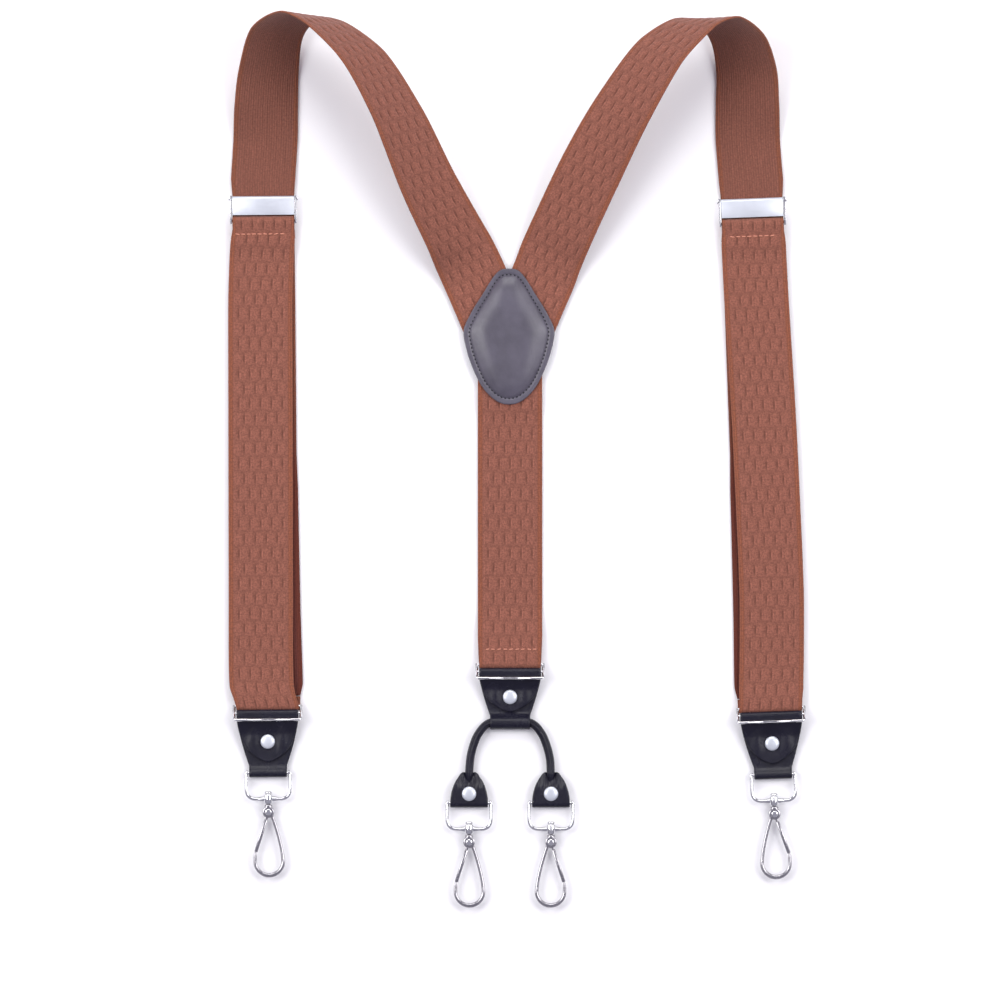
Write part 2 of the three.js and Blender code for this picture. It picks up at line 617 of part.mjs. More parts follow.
function rivetCap(y, underside) {
  const seat = underside + GAP;
  const foot = RIVET_Z + RIVET_FOOT_THICK + GAP;
  const profile = [
    new THREE.Vector2(0, foot),
    new THREE.Vector2(RIVET_SHANK, foot),
    new THREE.Vector2(RIVET_SHANK, seat),
    new THREE.Vector2(RIVET_RADIUS, seat),
    new THREE.Vector2(RIVET_RADIUS, seat + 0.25 * RIVET_DOME),
    new THREE.Vector2(0.85 * RIVET_RADIUS, seat + 0.65 * RIVET_DOME),
    new THREE.Vector2(0.5 * RIVET_RADIUS, seat + 0.93 * RIVET_DOME),
    new THREE.Vector2(0, seat + RIVET_DOME),
  ];
  const geometry = new THREE.LatheGeometry(profile, 12);
  return solid(geometry.rotateX(Math.PI / 2)).translate([0, y, 0]);
}

function rivetBase(y) {
  return barAlongZ(RIVET_FOOT, RIVET_Z, RIVET_Z + RIVET_FOOT_THICK, 0, y, 12);
}

// ---- D-ring and hook, drawn about their middle plane ----

function dRing() {
  const section = new THREE.Shape().absarc(0, 0, RING_WIRE, 0, 2 * Math.PI);
  const bend = new THREE.CurvePath();
  const corner = RING_CORNER;
  const p = (x, y) => new THREE.Vector3(x, y, 0);
  bend.add(new THREE.LineCurve3(p(-RING_HALF, 0), p(-RING_HALF, corner - RING_DEPTH)));
  bend.add(new THREE.QuadraticBezierCurve3(
    p(-RING_HALF, corner - RING_DEPTH),
    p(-RING_HALF, -RING_DEPTH),
    p(corner - RING_HALF, -RING_DEPTH),
  ));
  bend.add(new THREE.LineCurve3(p(corner - RING_HALF, -RING_DEPTH), p(RING_HALF - corner, -RING_DEPTH)));
  bend.add(new THREE.QuadraticBezierCurve3(
    p(RING_HALF - corner, -RING_DEPTH),
    p(RING_HALF, -RING_DEPTH),
    p(RING_HALF, corner - RING_DEPTH),
  ));
  bend.add(new THREE.LineCurve3(p(RING_HALF, corner - RING_DEPTH), p(RING_HALF, 0)));
  const wire = new THREE.ExtrudeGeometry(section, {
    extrudePath: bend,
    steps: 18,
    curveSegments: 4,
    bevelEnabled: false,
  });
  const bossFrom = -RING_DEPTH - BOSS_HALF;
  const bossTo = -RING_DEPTH + BOSS_HALF;
  const boss = barAlongY(BOSS_RADIUS, bossFrom, bossTo);
  const bore = barAlongY(STEM_RADIUS + GAP, bossFrom - 1, bossTo + 1);
  const ends = [-1, 1].map((side) => (
    solid(new THREE.SphereGeometry(RING_WIRE, 8, 4).translate(side * RING_HALF, 0, 0))
  ));
  return join(solid(wire), barAlongX(RING_WIRE, RING_HALF, 0, 0), ...ends, boss).subtract(bore);
}

// The stem's peened head, above the boss. The hook's own origin is its gate pivot.
function swivelCap() {
  const from = PIVOT_DROP + BOSS_HALF + GAP;
  return barAlongY(CAP_RADIUS, from, from + CAP_THICK);
}

// The hook's arm and nose with the gate on its left; mirrored for a gate on the right.
function hookArm() {
  const radians = THREE.MathUtils.degToRad;
  const bay = [10, -25, -60, -95, -130, -165].map((angle) => new THREE.Vector3(
    BAY_X + BAY_RADIUS * Math.cos(radians(angle)),
    BAY_Y + BAY_RADIUS * Math.sin(radians(angle)),
    0,
  ));
  const path = new THREE.CatmullRomCurve3([
    new THREE.Vector3(1.7, -1.4, 0),
    new THREE.Vector3(3.1, -5.4, 0),
    new THREE.Vector3(5.3, -13, 0),
    ...bay,
    new THREE.Vector3(BAY_X - BAY_RADIUS + 0.1, NOSE_Y, 0),
  ], false, 'centripetal');
  const across = ARM_WIDTH / 2;
  const deep = ARM_HEIGHT / 2;
  const chamfer = 0.45;
  const section = new THREE.Shape([
    new THREE.Vector2(-deep + chamfer, -across),
    new THREE.Vector2(deep - chamfer, -across),
    new THREE.Vector2(deep, -across + chamfer),
    new THREE.Vector2(deep, across - chamfer),
    new THREE.Vector2(deep - chamfer, across),
    new THREE.Vector2(-deep + chamfer, across),
    new THREE.Vector2(-deep, across - chamfer),
    new THREE.Vector2(-deep, -across + chamfer),
  ]);
  return solid(new THREE.ExtrudeGeometry(section, {
    extrudePath: path,
    steps: 17,
    bevelEnabled: false,
  }));
}

function hookBody() {
  const collarFrom = PIVOT_DROP - BOSS_HALF - GAP - COLLAR_THICK;
  const stemTo = PIVOT_DROP + BOSS_HALF;
  const body = join(
    barAlongZ(EYE_RADIUS, -EYE_HALF, EYE_HALF, 0, 0, 14),
    block(-1.6, 1.6, 1, collarFrom + 0.5, -EYE_HALF + 0.2, EYE_HALF - 0.2),
    barAlongY(COLLAR_RADIUS, collarFrom, collarFrom + COLLAR_THICK),
    barAlongY(STEM_RADIUS, collarFrom, stemTo),
    hookArm(),
  );
  const slot = barAlongZ(SLOT_RADIUS, -SLOT_HALF, SLOT_HALF);
  const mouth = block(-EYE_RADIUS - 1, MOUTH_EDGE, -EYE_RADIUS - 1, -0.4, -SLOT_HALF, SLOT_HALF);
  const pinHole = barAlongZ(GATE_PIN + GAP, -EYE_HALF - 1, EYE_HALF + 1);
  return body.subtract(join(slot, mouth)).subtract(pinHole);
}

function gateOutline(startRadius, from) {
  const tip = new THREE.Vector2(BAY_X - BAY_RADIUS + 0.45, NOSE_Y + 0.9);
  const along = tip.clone().normalize();
  const side = new THREE.Vector2(-along.y, along.x).multiplyScalar(startRadius);
  const start = along.clone().multiplyScalar(from);
  return new THREE.Shape([
    start.clone().add(side),
    start.clone().sub(side),
    tip.clone().sub(side),
    tip.clone().add(side),
  ]);
}

function gate() {
  const tongueHalf = SLOT_HALF - GAP;
  const clearOfEye = EYE_RADIUS + GAP + 0.6;
  const knuckle = barAlongZ(SLOT_RADIUS - GAP, -tongueHalf, tongueHalf);
  const tongue = upright(gateOutline(GATE_WIDTH / 2, 1), -tongueHalf, tongueHalf);
  const rod = upright(gateOutline(GATE_WIDTH / 2, clearOfEye), -GATE_HALF, GATE_HALF);
  const bore = barAlongZ(GATE_BORE, -EYE_HALF, EYE_HALF);
  return join(knuckle, tongue, rod).subtract(bore);
}

function gatePin() {
  const inner = EYE_HALF + GAP;
  return join(
    barAlongZ(GATE_PIN, -inner - 0.1, inner + 0.1),
    barAlongZ(GATE_HEAD, inner, inner + GATE_HEAD_THICK),
    barAlongZ(GATE_HEAD, -inner - GATE_HEAD_THICK, -inner),
  );
}

function gateSpring() {
  const half = SLOT_HALF - GAP - 0.1;
  return barAlongZ(SPRING_OUTER, -half, half).subtract(barAlongZ(SPRING_INNER, -half - 1, half + 1));
}

// A D-ring and its hook, hanging from a bar centre at x, y. gateSide is -1 for a gate on the left.
function makeHookSet(prefix, x, y, gateSide) {
  const group = new THREE.Group();
  group.position.set(x, y, HARDWARE_Z);
  group.add(piece(`${prefix}_d_ring`, dRing(), nickel));
  const hook = new THREE.Group();
  hook.position.set(0, -RING_DEPTH - PIVOT_DROP, 0);
  const facing = (shape) => (gateSide < 0 ? shape : shape.mirror([1, 0, 0]));
  hook.add(
    piece(`${prefix}_swivel_cap`, swivelCap(), nickel),
    piece(`${prefix}_hook`, facing(hookBody()), nickel),
    piece(`${prefix}_gate`, facing(gate()), nickel),
    piece(`${prefix}_gate_pin`, gatePin(), nickel),
    piece(`${prefix}_gate_spring`, gateSpring(), nickel),
  );
  group.add(hook);
  return group;
}

// ---- Front legs and back leg ----

function makeFrontLeg(leg, prefix) {
  const group = new THREE.Group();
  group.position.set(leg.x, leg.y, 0);
  group.rotation.z = THREE.MathUtils.degToRad(leg.lean);
  const rivetY = FRONT_FOLD - TAB_RIVET;
  const ringY = FRONT_FOLD - TAB_RING;
  const tab = leatherTab(
    FRONT_FOLD,
    FRONT_FOLD - TAB_TIP,
    rivetY,
    ringY + 4,
    { y: ringY, z: HARDWARE_Z, radius: RING_ROLL },
    TAB_END_HALF,
  );
  group.add(
    piece(`${prefix}_strap_return`, strapReturn(leg.side), webbing),
    piece(`${prefix}_adjuster_frame`, adjusterFrame(), nickel),
    piece(`${prefix}_adjuster_lever`, adjusterLever(), nickel),
    piece(`${prefix}_adjuster_pin`, adjusterPin(), nickel),
    piece(`${prefix}_slide_loop`, slideLoop(FRONT_FOLD), nickel),
    piece(`${prefix}_tab`, tab, leather),
    piece(`${prefix}_rivet_cap`, rivetCap(rivetY, FLAP_Z + LEATHER / 2), nickel),
    piece(`${prefix}_rivet_base`, rivetBase(rivetY), nickel),
    makeHookSet(prefix, 0, ringY, leg.side),
  );
  return group;
}

// Rear tab: a flared end of the cord, folded round its D-ring's bar.
function rearTab(x) {
  const top = REAR_RING_Y + REAR_TAB_LENGTH;
  const inner = REAR_RING_Y + REAR_RIVET + RIVET_RADIUS + 2 * GAP;
  const profile = [
    [top, CORD_Z - 0.6],
    ...wrap([inner, REAR_TAB_Z], [REAR_RING_Y, HARDWARE_Z], RING_ROLL, [inner, RETURN_Z], 9),
  ];
  const straightTo = REAR_RING_Y + 5;
  const outline = new THREE.Shape();
  outline.moveTo(-TAB_END_HALF, REAR_RING_Y - 5);
  outline.lineTo(TAB_END_HALF, REAR_RING_Y - 5);
  outline.lineTo(TAB_END_HALF, straightTo);
  outline.quadraticCurveTo(TAB_END_HALF, top - 3.5, CORD_RADIUS, top);
  outline.lineTo(-CORD_RADIUS, top);
  outline.quadraticCurveTo(-TAB_END_HALF, top - 3.5, -TAB_END_HALF, straightTo);
  const hole = barAlongZ(RIVET_SHANK + GAP, -5, 20, 0, REAR_RING_Y + REAR_RIVET);
  return strip(profile, LEATHER, 2 * TAB_END_HALF)
    .intersect(upright(outline, -5, 20))
    .subtract(hole)
    .translate([x, 0, 0]);
}

// The rolled leather cord through the back tab's tunnel, flaring into a tab at each end.
function bridle() {
  const tunnelY = BACK_FOLD - BACK_TAB_TUNNEL;
  const arm = [
    [BRIDLE_HALF, REAR_RING_Y + REAR_TAB_LENGTH - 2, CORD_Z - 0.6],
    [BRIDLE_HALF - 0.5, -228.6, CORD_Z - 0.6],
    [BRIDLE_HALF - 2.0, -221.8, CORD_Z - 0.4],
    [BRIDLE_HALF - 4.4, -215.4, CORD_Z - 0.1],
    [TUNNEL_HALF + 3.2, tunnelY - 2.0, CORD_Z],
    [TUNNEL_HALF + 0.2, tunnelY - 0.1, CORD_Z],
    [TUNNEL_HALF - 3.0, tunnelY, CORD_Z],
  ];
  const right = arm.map(([x, y, z]) => new THREE.Vector3(x, y, z));
  const left = arm.map(([x, y, z]) => new THREE.Vector3(-x, y, z)).reverse();
  const section = new THREE.Shape().absarc(0, 0, CORD_RADIUS, 0, 2 * Math.PI);
  const tube = new THREE.ExtrudeGeometry(section, {
    extrudePath: new THREE.CatmullRomCurve3([...right, ...left], false, 'centripetal'),
    steps: 28,
    curveSegments: 4,
    bevelEnabled: false,
  });
  return join(solid(tube), rearTab(-BRIDLE_HALF), rearTab(BRIDLE_HALF));
}

function makeBackLeg() {
  const group = new THREE.Group();
  group.position.set(BACK_X, 0, 0);
  const rivetY = BACK_FOLD - BACK_TAB_RIVET;
  const tunnelY = BACK_FOLD - BACK_TAB_TUNNEL;
  const tab = leatherTab(
    BACK_FOLD,
    BACK_FOLD - BACK_TAB_TIP,
    rivetY,
    tunnelY + 4,
    { y: tunnelY, z: CORD_Z, radius: CORD_ROLL },
    TUNNEL_HALF,
  );
  group.add(
    piece('back_slide_loop', slideLoop(BACK_FOLD), nickel),
    piece('back_tab', tab, leather),
    piece('back_rivet_cap', rivetCap(rivetY, FLAP_Z + LEATHER / 2), nickel),
    piece('back_rivet_base', rivetBase(rivetY), nickel),
    piece('back_bridle', bridle(), leather),
  );
  for (const [prefix, side] of [['rear_left', -1], ['rear_right', 1]]) {
    const end = new THREE.Group();
    end.position.x = side * BRIDLE_HALF;
    end.add(
      piece(`${prefix}_rivet_cap`, rivetCap(REAR_RING_Y + REAR_RIVET, REAR_TAB_Z + LEATHER / 2), nickel),
      piece(`${prefix}_rivet_base`, rivetBase(REAR_RING_Y + REAR_RIVET), nickel),
      makeHookSet(prefix, 0, REAR_RING_Y, side),
    );
    group.add(end);
  }
  return group;
}

const suspenders = new THREE.Group();
suspenders.add(
  ...makeYoke(),
  piece('left_strap', shoulderStrap(LEG_LEFT, LEFT_LOOP), webbing),
  piece('right_strap', shoulderStrap(LEG_RIGHT, RIGHT_LOOP), webbing),
  piece('back_strap', backStrap(), webbing),
  makeFrontLeg(LEG_LEFT, 'left'),
  makeFrontLeg(LEG_RIGHT, 'right'),
  makeBackLeg(),
);

export default suspenders;
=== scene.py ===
"""Y-back suspenders laid flat: the visible webbing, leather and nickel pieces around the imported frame."""
import math

import bmesh
import bpy
import numpy as np
from mathutils import Matrix, Vector


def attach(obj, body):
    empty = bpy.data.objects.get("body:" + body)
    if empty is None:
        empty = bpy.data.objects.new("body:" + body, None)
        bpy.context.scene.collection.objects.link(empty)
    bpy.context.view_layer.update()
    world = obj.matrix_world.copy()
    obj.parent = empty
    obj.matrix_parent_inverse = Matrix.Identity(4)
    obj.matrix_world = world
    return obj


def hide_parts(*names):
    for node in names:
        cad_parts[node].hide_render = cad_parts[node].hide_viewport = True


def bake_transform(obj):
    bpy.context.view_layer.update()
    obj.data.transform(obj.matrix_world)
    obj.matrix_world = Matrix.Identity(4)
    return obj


bl_info = {
    "name": "Y-back suspenders",
    "version": (1, 0, 0),
    "blender": (4, 5, 0),
    "location": "View3D > Sidebar > Suspenders",
    "description": "Builds the visible webbing, leather and nickel pieces of a pair of suspenders",
    "category": "Object",
}

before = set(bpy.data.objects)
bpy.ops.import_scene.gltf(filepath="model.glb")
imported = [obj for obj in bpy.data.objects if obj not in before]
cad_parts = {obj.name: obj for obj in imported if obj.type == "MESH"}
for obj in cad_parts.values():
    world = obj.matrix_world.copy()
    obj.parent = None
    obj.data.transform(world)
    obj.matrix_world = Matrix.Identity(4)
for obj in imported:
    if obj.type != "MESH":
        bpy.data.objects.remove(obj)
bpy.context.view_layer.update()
MM = 0.001

# ---- Sizes and places in millimetres, most of them the solids' own ----

GAP = 0.3
WEB_WIDTH = 34.4
WEB_THICK = 1.5
PINCHED = 33.0
LEATHER = 1.1
# Each front leg: its side, the x and y of its adjuster's origin, and its lean in degrees.
LEGS = {"left": (-1, -131.1, 67.8, 0.48), "right": (1, 129.7, 66.6, 2.13)}
BACK_SPOT = (0.55, 0.0, 0.0)
FRONT_FOLD, BACK_FOLD = -270.2, -180.2
BRIDLE_HALF = 21.85
YOKE_HALF, YOKE_TOP, YOKE_BOTTOM = 24.6, 33.8, 38.8
YOKE_WEB_Z, FLOOR_WEB_Z, SECOND_WEB_Z, CLAMP_WEB_Z = 2.25, 0.9, 2.7, 1.85
PATCH_Z, RIM_TOP, YOKE_SEAM = 3.3, 4.32, 3.2
BAR, BAR_Y = 0.8, -8.5
# WRAP is from a bar's centre to the middle of the webbing that goes round it.
WRAP = 1.85
SEAM_THREAD = 0.27
BAR_Z = SECOND_WEB_Z + WRAP
FOLD_TO_BAR = 2.6
LOOP_BAR_Z, LOOP_HALF, LOOP_TILT = 2.8, 17.8, math.radians(42.3)
TAB_HALF, TAB_END, TUNNEL_HALF = 16.5, 10.1, 10.7
RETURN_Z, BASE_Z, FLAP_Z = 1.55, 2.95, 4.35
HARDWARE_Z = 3.3
CORD, CORD_Z = 2.2, 3.75
REAR_RING_Y = -251.5
REAR_TAB_Z = 5.05
# How far out the left front layer bows, at places along its leg.
LEFT_BOW = [
    (-270.0, 0.0), (-262.6, 1.5), (-257.0, 3.0), (-246.0, 3.4), (-162.0, 2.7), (-99.0, 2.4), (-56.0, 2.1),
    (-34.0, 1.6), (-19.0, 0.4), (-14.0, 0.0),
]
# Each shoulder loop: x, y, z, then the heading and the rise of the webbing's width in degrees.
LEFT_LOOP = [
    (-130.0, 102.5, 1.2, 180, 0), (-129.5, 121.0, 4.7, 180, 12), (-128.0, 139.5, 8.5, 177, 24),
    (-123.0, 159.5, 19.5, 172, 38), (-111.0, 167.5, 30.5, 172, 54), (-98.0, 163.5, 34.5, 188, 57),
    (-78.0, 146.5, 34.0, 197, 49), (-60.0, 117.0, 29.5, 196, 41), (-43.0, 79.0, 20.0, 199, 29),
    (-27.0, 48.0, 8.5, 202, 16), (-22.5, 38.5, 4.0, 202, 5),
]
RIGHT_LOOP = [
    (127.5, 102.5, 1.2, 0, 0), (127.2, 122.0, 4.7, 0, 12), (126.5, 139.5, 8.5, 2, 22),
    (121.5, 156.0, 19.0, 6, 36), (111.0, 165.0, 29.5, 6, 50), (99.5, 164.0, 34.0, -12, 51),
    (81.0, 149.0, 34.0, -30, 42), (60.5, 118.0, 28.5, -29, 27), (43.5, 86.0, 19.0, -26, 12),
    (27.5, 52.0, 8.5, -24, 8), (22.5, 40.5, 4.0, -23, 3),
]


# ---- Shader expressions ----

class Wire:
    """A node socket that Python arithmetic extends with Math nodes."""

    def __init__(self, tree, socket):
        self.tree = tree
        self.socket = socket

    def math(self, operation, *others):
        return self.node("ShaderNodeMath", {"operation": operation}, dict(enumerate((self, *others))))

    def node(self, kind, settings=None, inputs=None, output=0):
        """Adds a node: its settings first, then the values or links of its sockets."""
        made = self.tree.nodes.new(kind)
        for key, value in (settings or {}).items():
            setattr(made, key, value)
        for key, value in (inputs or {}).items():
            if isinstance(value, Wire):
                self.tree.links.new(value.socket, made.inputs[key])
            else:
                made.inputs[key].default_value = value
        return Wire(self.tree, made.outputs[output])

    def __add__(self, other):
        return self.math("ADD", other)

    __radd__ = __add__

    def __sub__(self, other):
        return self.math("SUBTRACT", other)

    def __rsub__(self, other):
        return self.node("ShaderNodeMath", {"operation": "SUBTRACT"}, {0: other, 1: self})

    def __mul__(self, other):
        return self.math("MULTIPLY", other)

    __rmul__ = __mul__

    def __pow__(self, other):
        return self.math("POWER", other)

    def __abs__(self):
        return self.math("ABSOLUTE")

    def cos(self):
        return self.math("COSINE")

    def step(self, low, high):
        """0 below low and 1 above high, with a smooth rise between."""
        return self.node(
            "ShaderNodeMapRange", {"interpolation_type": "SMOOTHSTEP"},
            {"Value": self, "From Min": low, "From Max": high},
        )

    def mix(self, first, second):
        """first where this is 0, second where it is 1; both are colours."""
        return self.node(
            "ShaderNodeMix", {"data_type": "RGBA"}, {"Factor": self, 6: first, 7: second}, output=2,
        )

    def tinted(self, colour, amount=1.0):
        """This colour multiplied by another, as far as amount says."""
        return self.node(
            "ShaderNodeMix", {"data_type": "RGBA", "blend_type": "MULTIPLY"},
            {"Factor": amount, 6: self, 7: colour}, output=2,
        )


class Finish:
    """A material with one Principled shader, and the coordinates that its patterns use."""

    def __init__(self, name, **constants):
        self.material = bpy.data.materials.new(name)
        self.material.use_nodes = True
        self.tree = self.material.node_tree
        self.shader = self.tree.nodes["Principled BSDF"]
        self.start = Wire(self.tree, None)
        for key, value in constants.items():
            self.shader.inputs[key.replace("_", " ")].default_value = value

    def node(self, *args, **kwargs):
        return self.start.node(*args, **kwargs)

    def place(self):
        return self.node("ShaderNodeTexCoord", output="Object")

    def stretched(self, vector, scale):
        return self.node("ShaderNodeMapping", None, {"Vector": vector, "Scale": scale})

    def noise(self, vector, scale, detail=3.0, roughness=0.55):
        return self.node(
            "ShaderNodeTexNoise", None,
            {"Vector": vector, "Scale": scale, "Detail": detail, "Roughness": roughness},
        )

    def feed(self, **links):
        for key, wire in links.items():
            self.tree.links.new(wire.socket, self.shader.inputs[key.replace("_", " ")])

    def bump(self, height, distance, strength=1.0, under=None):
        inputs = {"Height": height, "Distance": distance, "Strength": strength}
        if under is not None:
            inputs["Normal"] = under
        return self.node("ShaderNodeBump", None, inputs)


def shade(colour, factor):
    return (*[channel * factor for channel in colour[:3]], 1.0)


def webbing_finish(name, colour, selvage):
    """Jacquard elastic: a staggered lozenge face, a lengthwise ribbed reverse and plain selvages."""
    finish = Finish(name, Roughness=0.86, Sheen_Weight=0.12, Sheen_Roughness=0.5)
    finish.shader.inputs["Specular IOR Level"].default_value = 0.22
    coords = finish.node("ShaderNodeUVMap", {"uv_map": "weave"})
    split = finish.node("ShaderNodeSeparateXYZ", None, {"Vector": coords})
    across = split * 1000
    along = Wire(finish.tree, split.socket.node.outputs[1]) * 1000
    reverse = finish.node("ShaderNodeAttribute", {"attribute_name": "reverse"}, output="Fac").step(0.4, 0.6)
    wave_across = (across * (2 * math.pi / PIT_ACROSS)).cos()
    wave_along = (along * (math.pi / PIT_ALONG)).cos()
    lattice = wave_across * wave_along
    inside = 1 - abs(across).step(13.4, 14.6)
    slit = lattice.step(0.0, 0.1) * abs(wave_across) ** 9.0 * abs(wave_along) ** 1.5 * inside * (1 - reverse)
    crown = (lattice * -1).step(-0.2, 1.0) * inside * (1 - reverse)
    row = abs((along * (math.pi / PIT_ALONG) - math.pi / 2).cos()) ** 24.0 * inside * (1 - reverse)
    rim = abs(across).step(14.4, 15.0)
    threads = finish.noise(finish.stretched(coords, (2300.0, 700.0, 1.0)), 1.0, 2.0)
    picks = finish.noise(finish.stretched(coords, (600.0, 2600.0, 1.0)), 1.0, 2.0)
    cloudy = finish.noise(coords, 60.0, 3.0)
    rib = (across * (2 * math.pi / RIB_PITCH) + cloudy * 2).cos() * 0.5 + 0.5
    streak = finish.noise(finish.stretched(coords, (900.0, 60.0, 1.0)), 1.0, 3.0)
    # Painted highlight: the puffed crowns of the lozenges are coloured lighter.
    face = (crown * picks * 0.9).mix(shade(colour, 0.92), shade(colour, 1.25))
    face = (row * picks * 0.5).mix(face, shade(colour, 0.62))
    lit = ((across - 0.8) * (2 * math.pi / PIT_ACROSS)).cos()
    glint = (lit * wave_along).step(0.0, 0.1) * abs(lit) ** 11.0 * abs(wave_along) ** 1.5 * inside
    face = (glint * 0.5).mix(face, shade(colour, 1.75))
    # Painted shade: the slits between the lozenges, which are recesses, are coloured dark.
    face = (slit * 0.85).mix(face, shade(colour, 0.32))
    back = (rib * 0.32 + streak * 0.55).mix(shade(colour, 0.48), shade(colour, 1.06))
    body = reverse.mix(face, back)
    edge_line = ((across.math("ABSOLUTE") - 15.6) * (2 * math.pi / 1.25)).cos() * 0.5 + 0.5
    # Painted shade: on the reverse the selvages are coloured darker everywhere, standing in for the shadow on
    # the lower layer.
    edged = (edge_line * 0.6 + threads * 0.3 - reverse * 0.35).mix(shade(selvage, 0.68), shade(selvage, 1.15))
    body = rim.mix(body, edged)
    knots = finish.noise(finish.stretched(coords, (900.0, 900.0, 1.0)), 1.0, 3.0, 0.7)
    speckle = ((threads - 0.5) * 1.2 + (picks - 0.5) * 1.2 + (knots - 0.5) * 1.6 + 0.5).step(0.1, 0.9)
    body = (speckle * 0.7).mix(body.tinted((1.28, 1.28, 1.28, 1)), shade(colour, 0.5))
    # Painted shade: the 'under' attribute darkens the webbing where another layer lies over it at rest.
    under = finish.node("ShaderNodeAttribute", {"attribute_name": "under"}, output="Fac")
    finish.feed(Base_Color=body.tinted((0.55, 0.38, 0.42, 1), under))
    weave = ((across * (2 * math.pi / 0.75)).cos() * (along * (2 * math.pi / 0.62)).cos()) * 0.5 + 0.5
    height = weave * 0.35 + threads * 0.5 + rib * reverse * 0.9 + edge_line * rim * 0.7
    finish.feed(Normal=finish.bump(height, 0.00022, 0.8))
    return finish.material


def leather_finish(name, colour, gloss, grain, coat):
    """Finished hide: fine pebble grain, faint colour clouds and a worn sheen."""
    finish = Finish(name, Coat_Weight=coat, Coat_Roughness=gloss + 0.03)
    finish.shader.inputs["Specular IOR Level"].default_value = 0.28
    coords = finish.place()
    clouds = finish.noise(coords, 90.0, 4.0)
    pores = finish.node(
        "ShaderNodeTexVoronoi", {"feature": "DISTANCE_TO_EDGE"}, {"Vector": coords, "Scale": 1500.0}, 0,
    )
    creases = finish.noise(finish.stretched(coords, (1.0, 1.6, 1.0)), 420.0, 5.0, 0.65)
    tone = clouds.step(0.3, 0.72)
    finish.feed(Base_Color=tone.mix(shade(colour, 0.85), shade(colour, 1.15)))
    finish.feed(Roughness=clouds.step(0.25, 0.8) * 0.14 + (gloss - 0.07))
    fine = finish.bump(pores.step(0.0, 0.16), 0.00006 * grain, 0.6)
    finish.feed(Normal=finish.bump(creases, 0.00007 * grain, 0.5, fine))
    return finish.material


def nickel_finish(name, colour, roughness, shine):
    """Nickel plate with fine handling marks; shine is 1 where polished, less where satin."""
    finish = Finish(name, Metallic=shine)
    coords = finish.place()
    marks = finish.noise(finish.stretched(coords, (0.35, 1.0, 1.0)), 700.0, 4.0, 0.6)
    clouds = finish.noise(coords, 120.0, 2.0)
    finish.feed(
        Base_Color=clouds.step(0.3, 0.75).mix(shade(colour, 0.95), shade(colour, 1.03)),
        Roughness=marks.step(0.35, 0.8) * 0.12 + roughness,
        Normal=finish.bump(marks, 0.00001, 0.35),
    )
    return finish.material


def thread_finish(name, colour):
    """Twisted sewing thread."""
    finish = Finish(name, Roughness=0.6)
    coords = finish.place()
    twist = finish.noise(coords, 3200.0, 2.0)
    finish.feed(
        Base_Color=twist.step(0.3, 0.7).mix(shade(colour, 0.7), shade(colour, 1.2)),
        Normal=finish.bump(twist, 0.00008, 0.6),
    )
    return finish.material


def material(name, make, *looks):
    return bpy.data.materials.get(name) or make(name, *looks)


PIT_ACROSS, PIT_ALONG, RIB_PITCH = 5.85, 8.0, 1.3


# ---- Mesh building ----

def spot_matrix(spot):
    """From a leg's own axes in millimetres to the frame's in metres."""
    x, y, lean = spot
    turn = Matrix.Rotation(math.radians(lean), 4, "Z")
    return Matrix.Translation((x * MM, y * MM, 0)) @ turn @ Matrix.Scale(MM, 4)


def add_piece(name, points, faces, mat, spot=(0, 0, 0), uv=None, floats=None):
    mesh = bpy.data.meshes.new(name)
    mesh.from_pydata(np.asarray(points, float).tolist(), [], faces)
    mesh.validate()
    if uv is not None:
        layer = mesh.uv_layers.new(name="weave")
        index = np.empty(len(mesh.loops), np.int32)
        mesh.loops.foreach_get("vertex_index", index)
        layer.uv.foreach_set("vector", np.asarray(uv, np.float32)[index].ravel())
    for key, values in (floats or {}).items():
        mesh.attributes.new(key, "FLOAT", "POINT").data.foreach_set("value", np.asarray(values, np.float32))
    mesh.transform(spot_matrix(spot))
    piece = bpy.data.objects.new(name, mesh)
    bpy.context.scene.collection.objects.link(piece)
    mesh.materials.append(mat)
    outward(piece)
    mesh.shade_smooth()
    return piece


def outward(piece):
    shell = bmesh.new()
    shell.from_mesh(piece.data)
    bmesh.ops.recalc_face_normals(shell, faces=shell.faces)
    shell.to_mesh(piece.data)
    shell.free()


def loft(rings, closed_ends=True):
    """Points and faces of a skin over rings of equal count, each a closed loop."""
    rings = np.asarray(rings, float)
    count, around = rings.shape[:2]
    faces = []
    for i in range(count - 1):
        a, b = i * around, (i + 1) * around
        faces += [(a + j, a + (j + 1) % around, b + (j + 1) % around, b + j) for j in range(around)]
    if closed_ends:
        half = around // 2
        for base in (0, (count - 1) * around):
            faces += [
                (base + j, base + j + 1, base + around - 2 - j, base + around - 1 - j)
                for j in range(half - 1)
            ]
    return rings.reshape(-1, 3), faces


def join_shapes(*shapes):
    points, faces = [], []
    for found, polygons in shapes:
        start = sum(len(p) for p in points)
        points.append(np.asarray(found, float))
        faces += [tuple(start + i for i in polygon) for polygon in polygons]
    return np.concatenate(points), faces


def moved(shape, x=0.0, y=0.0, z=0.0, flip=False):
    points, faces = shape
    points = np.array(points, float)
    if flip:
        points[:, 0] *= -1
    return points + np.array([x, y, z]), faces


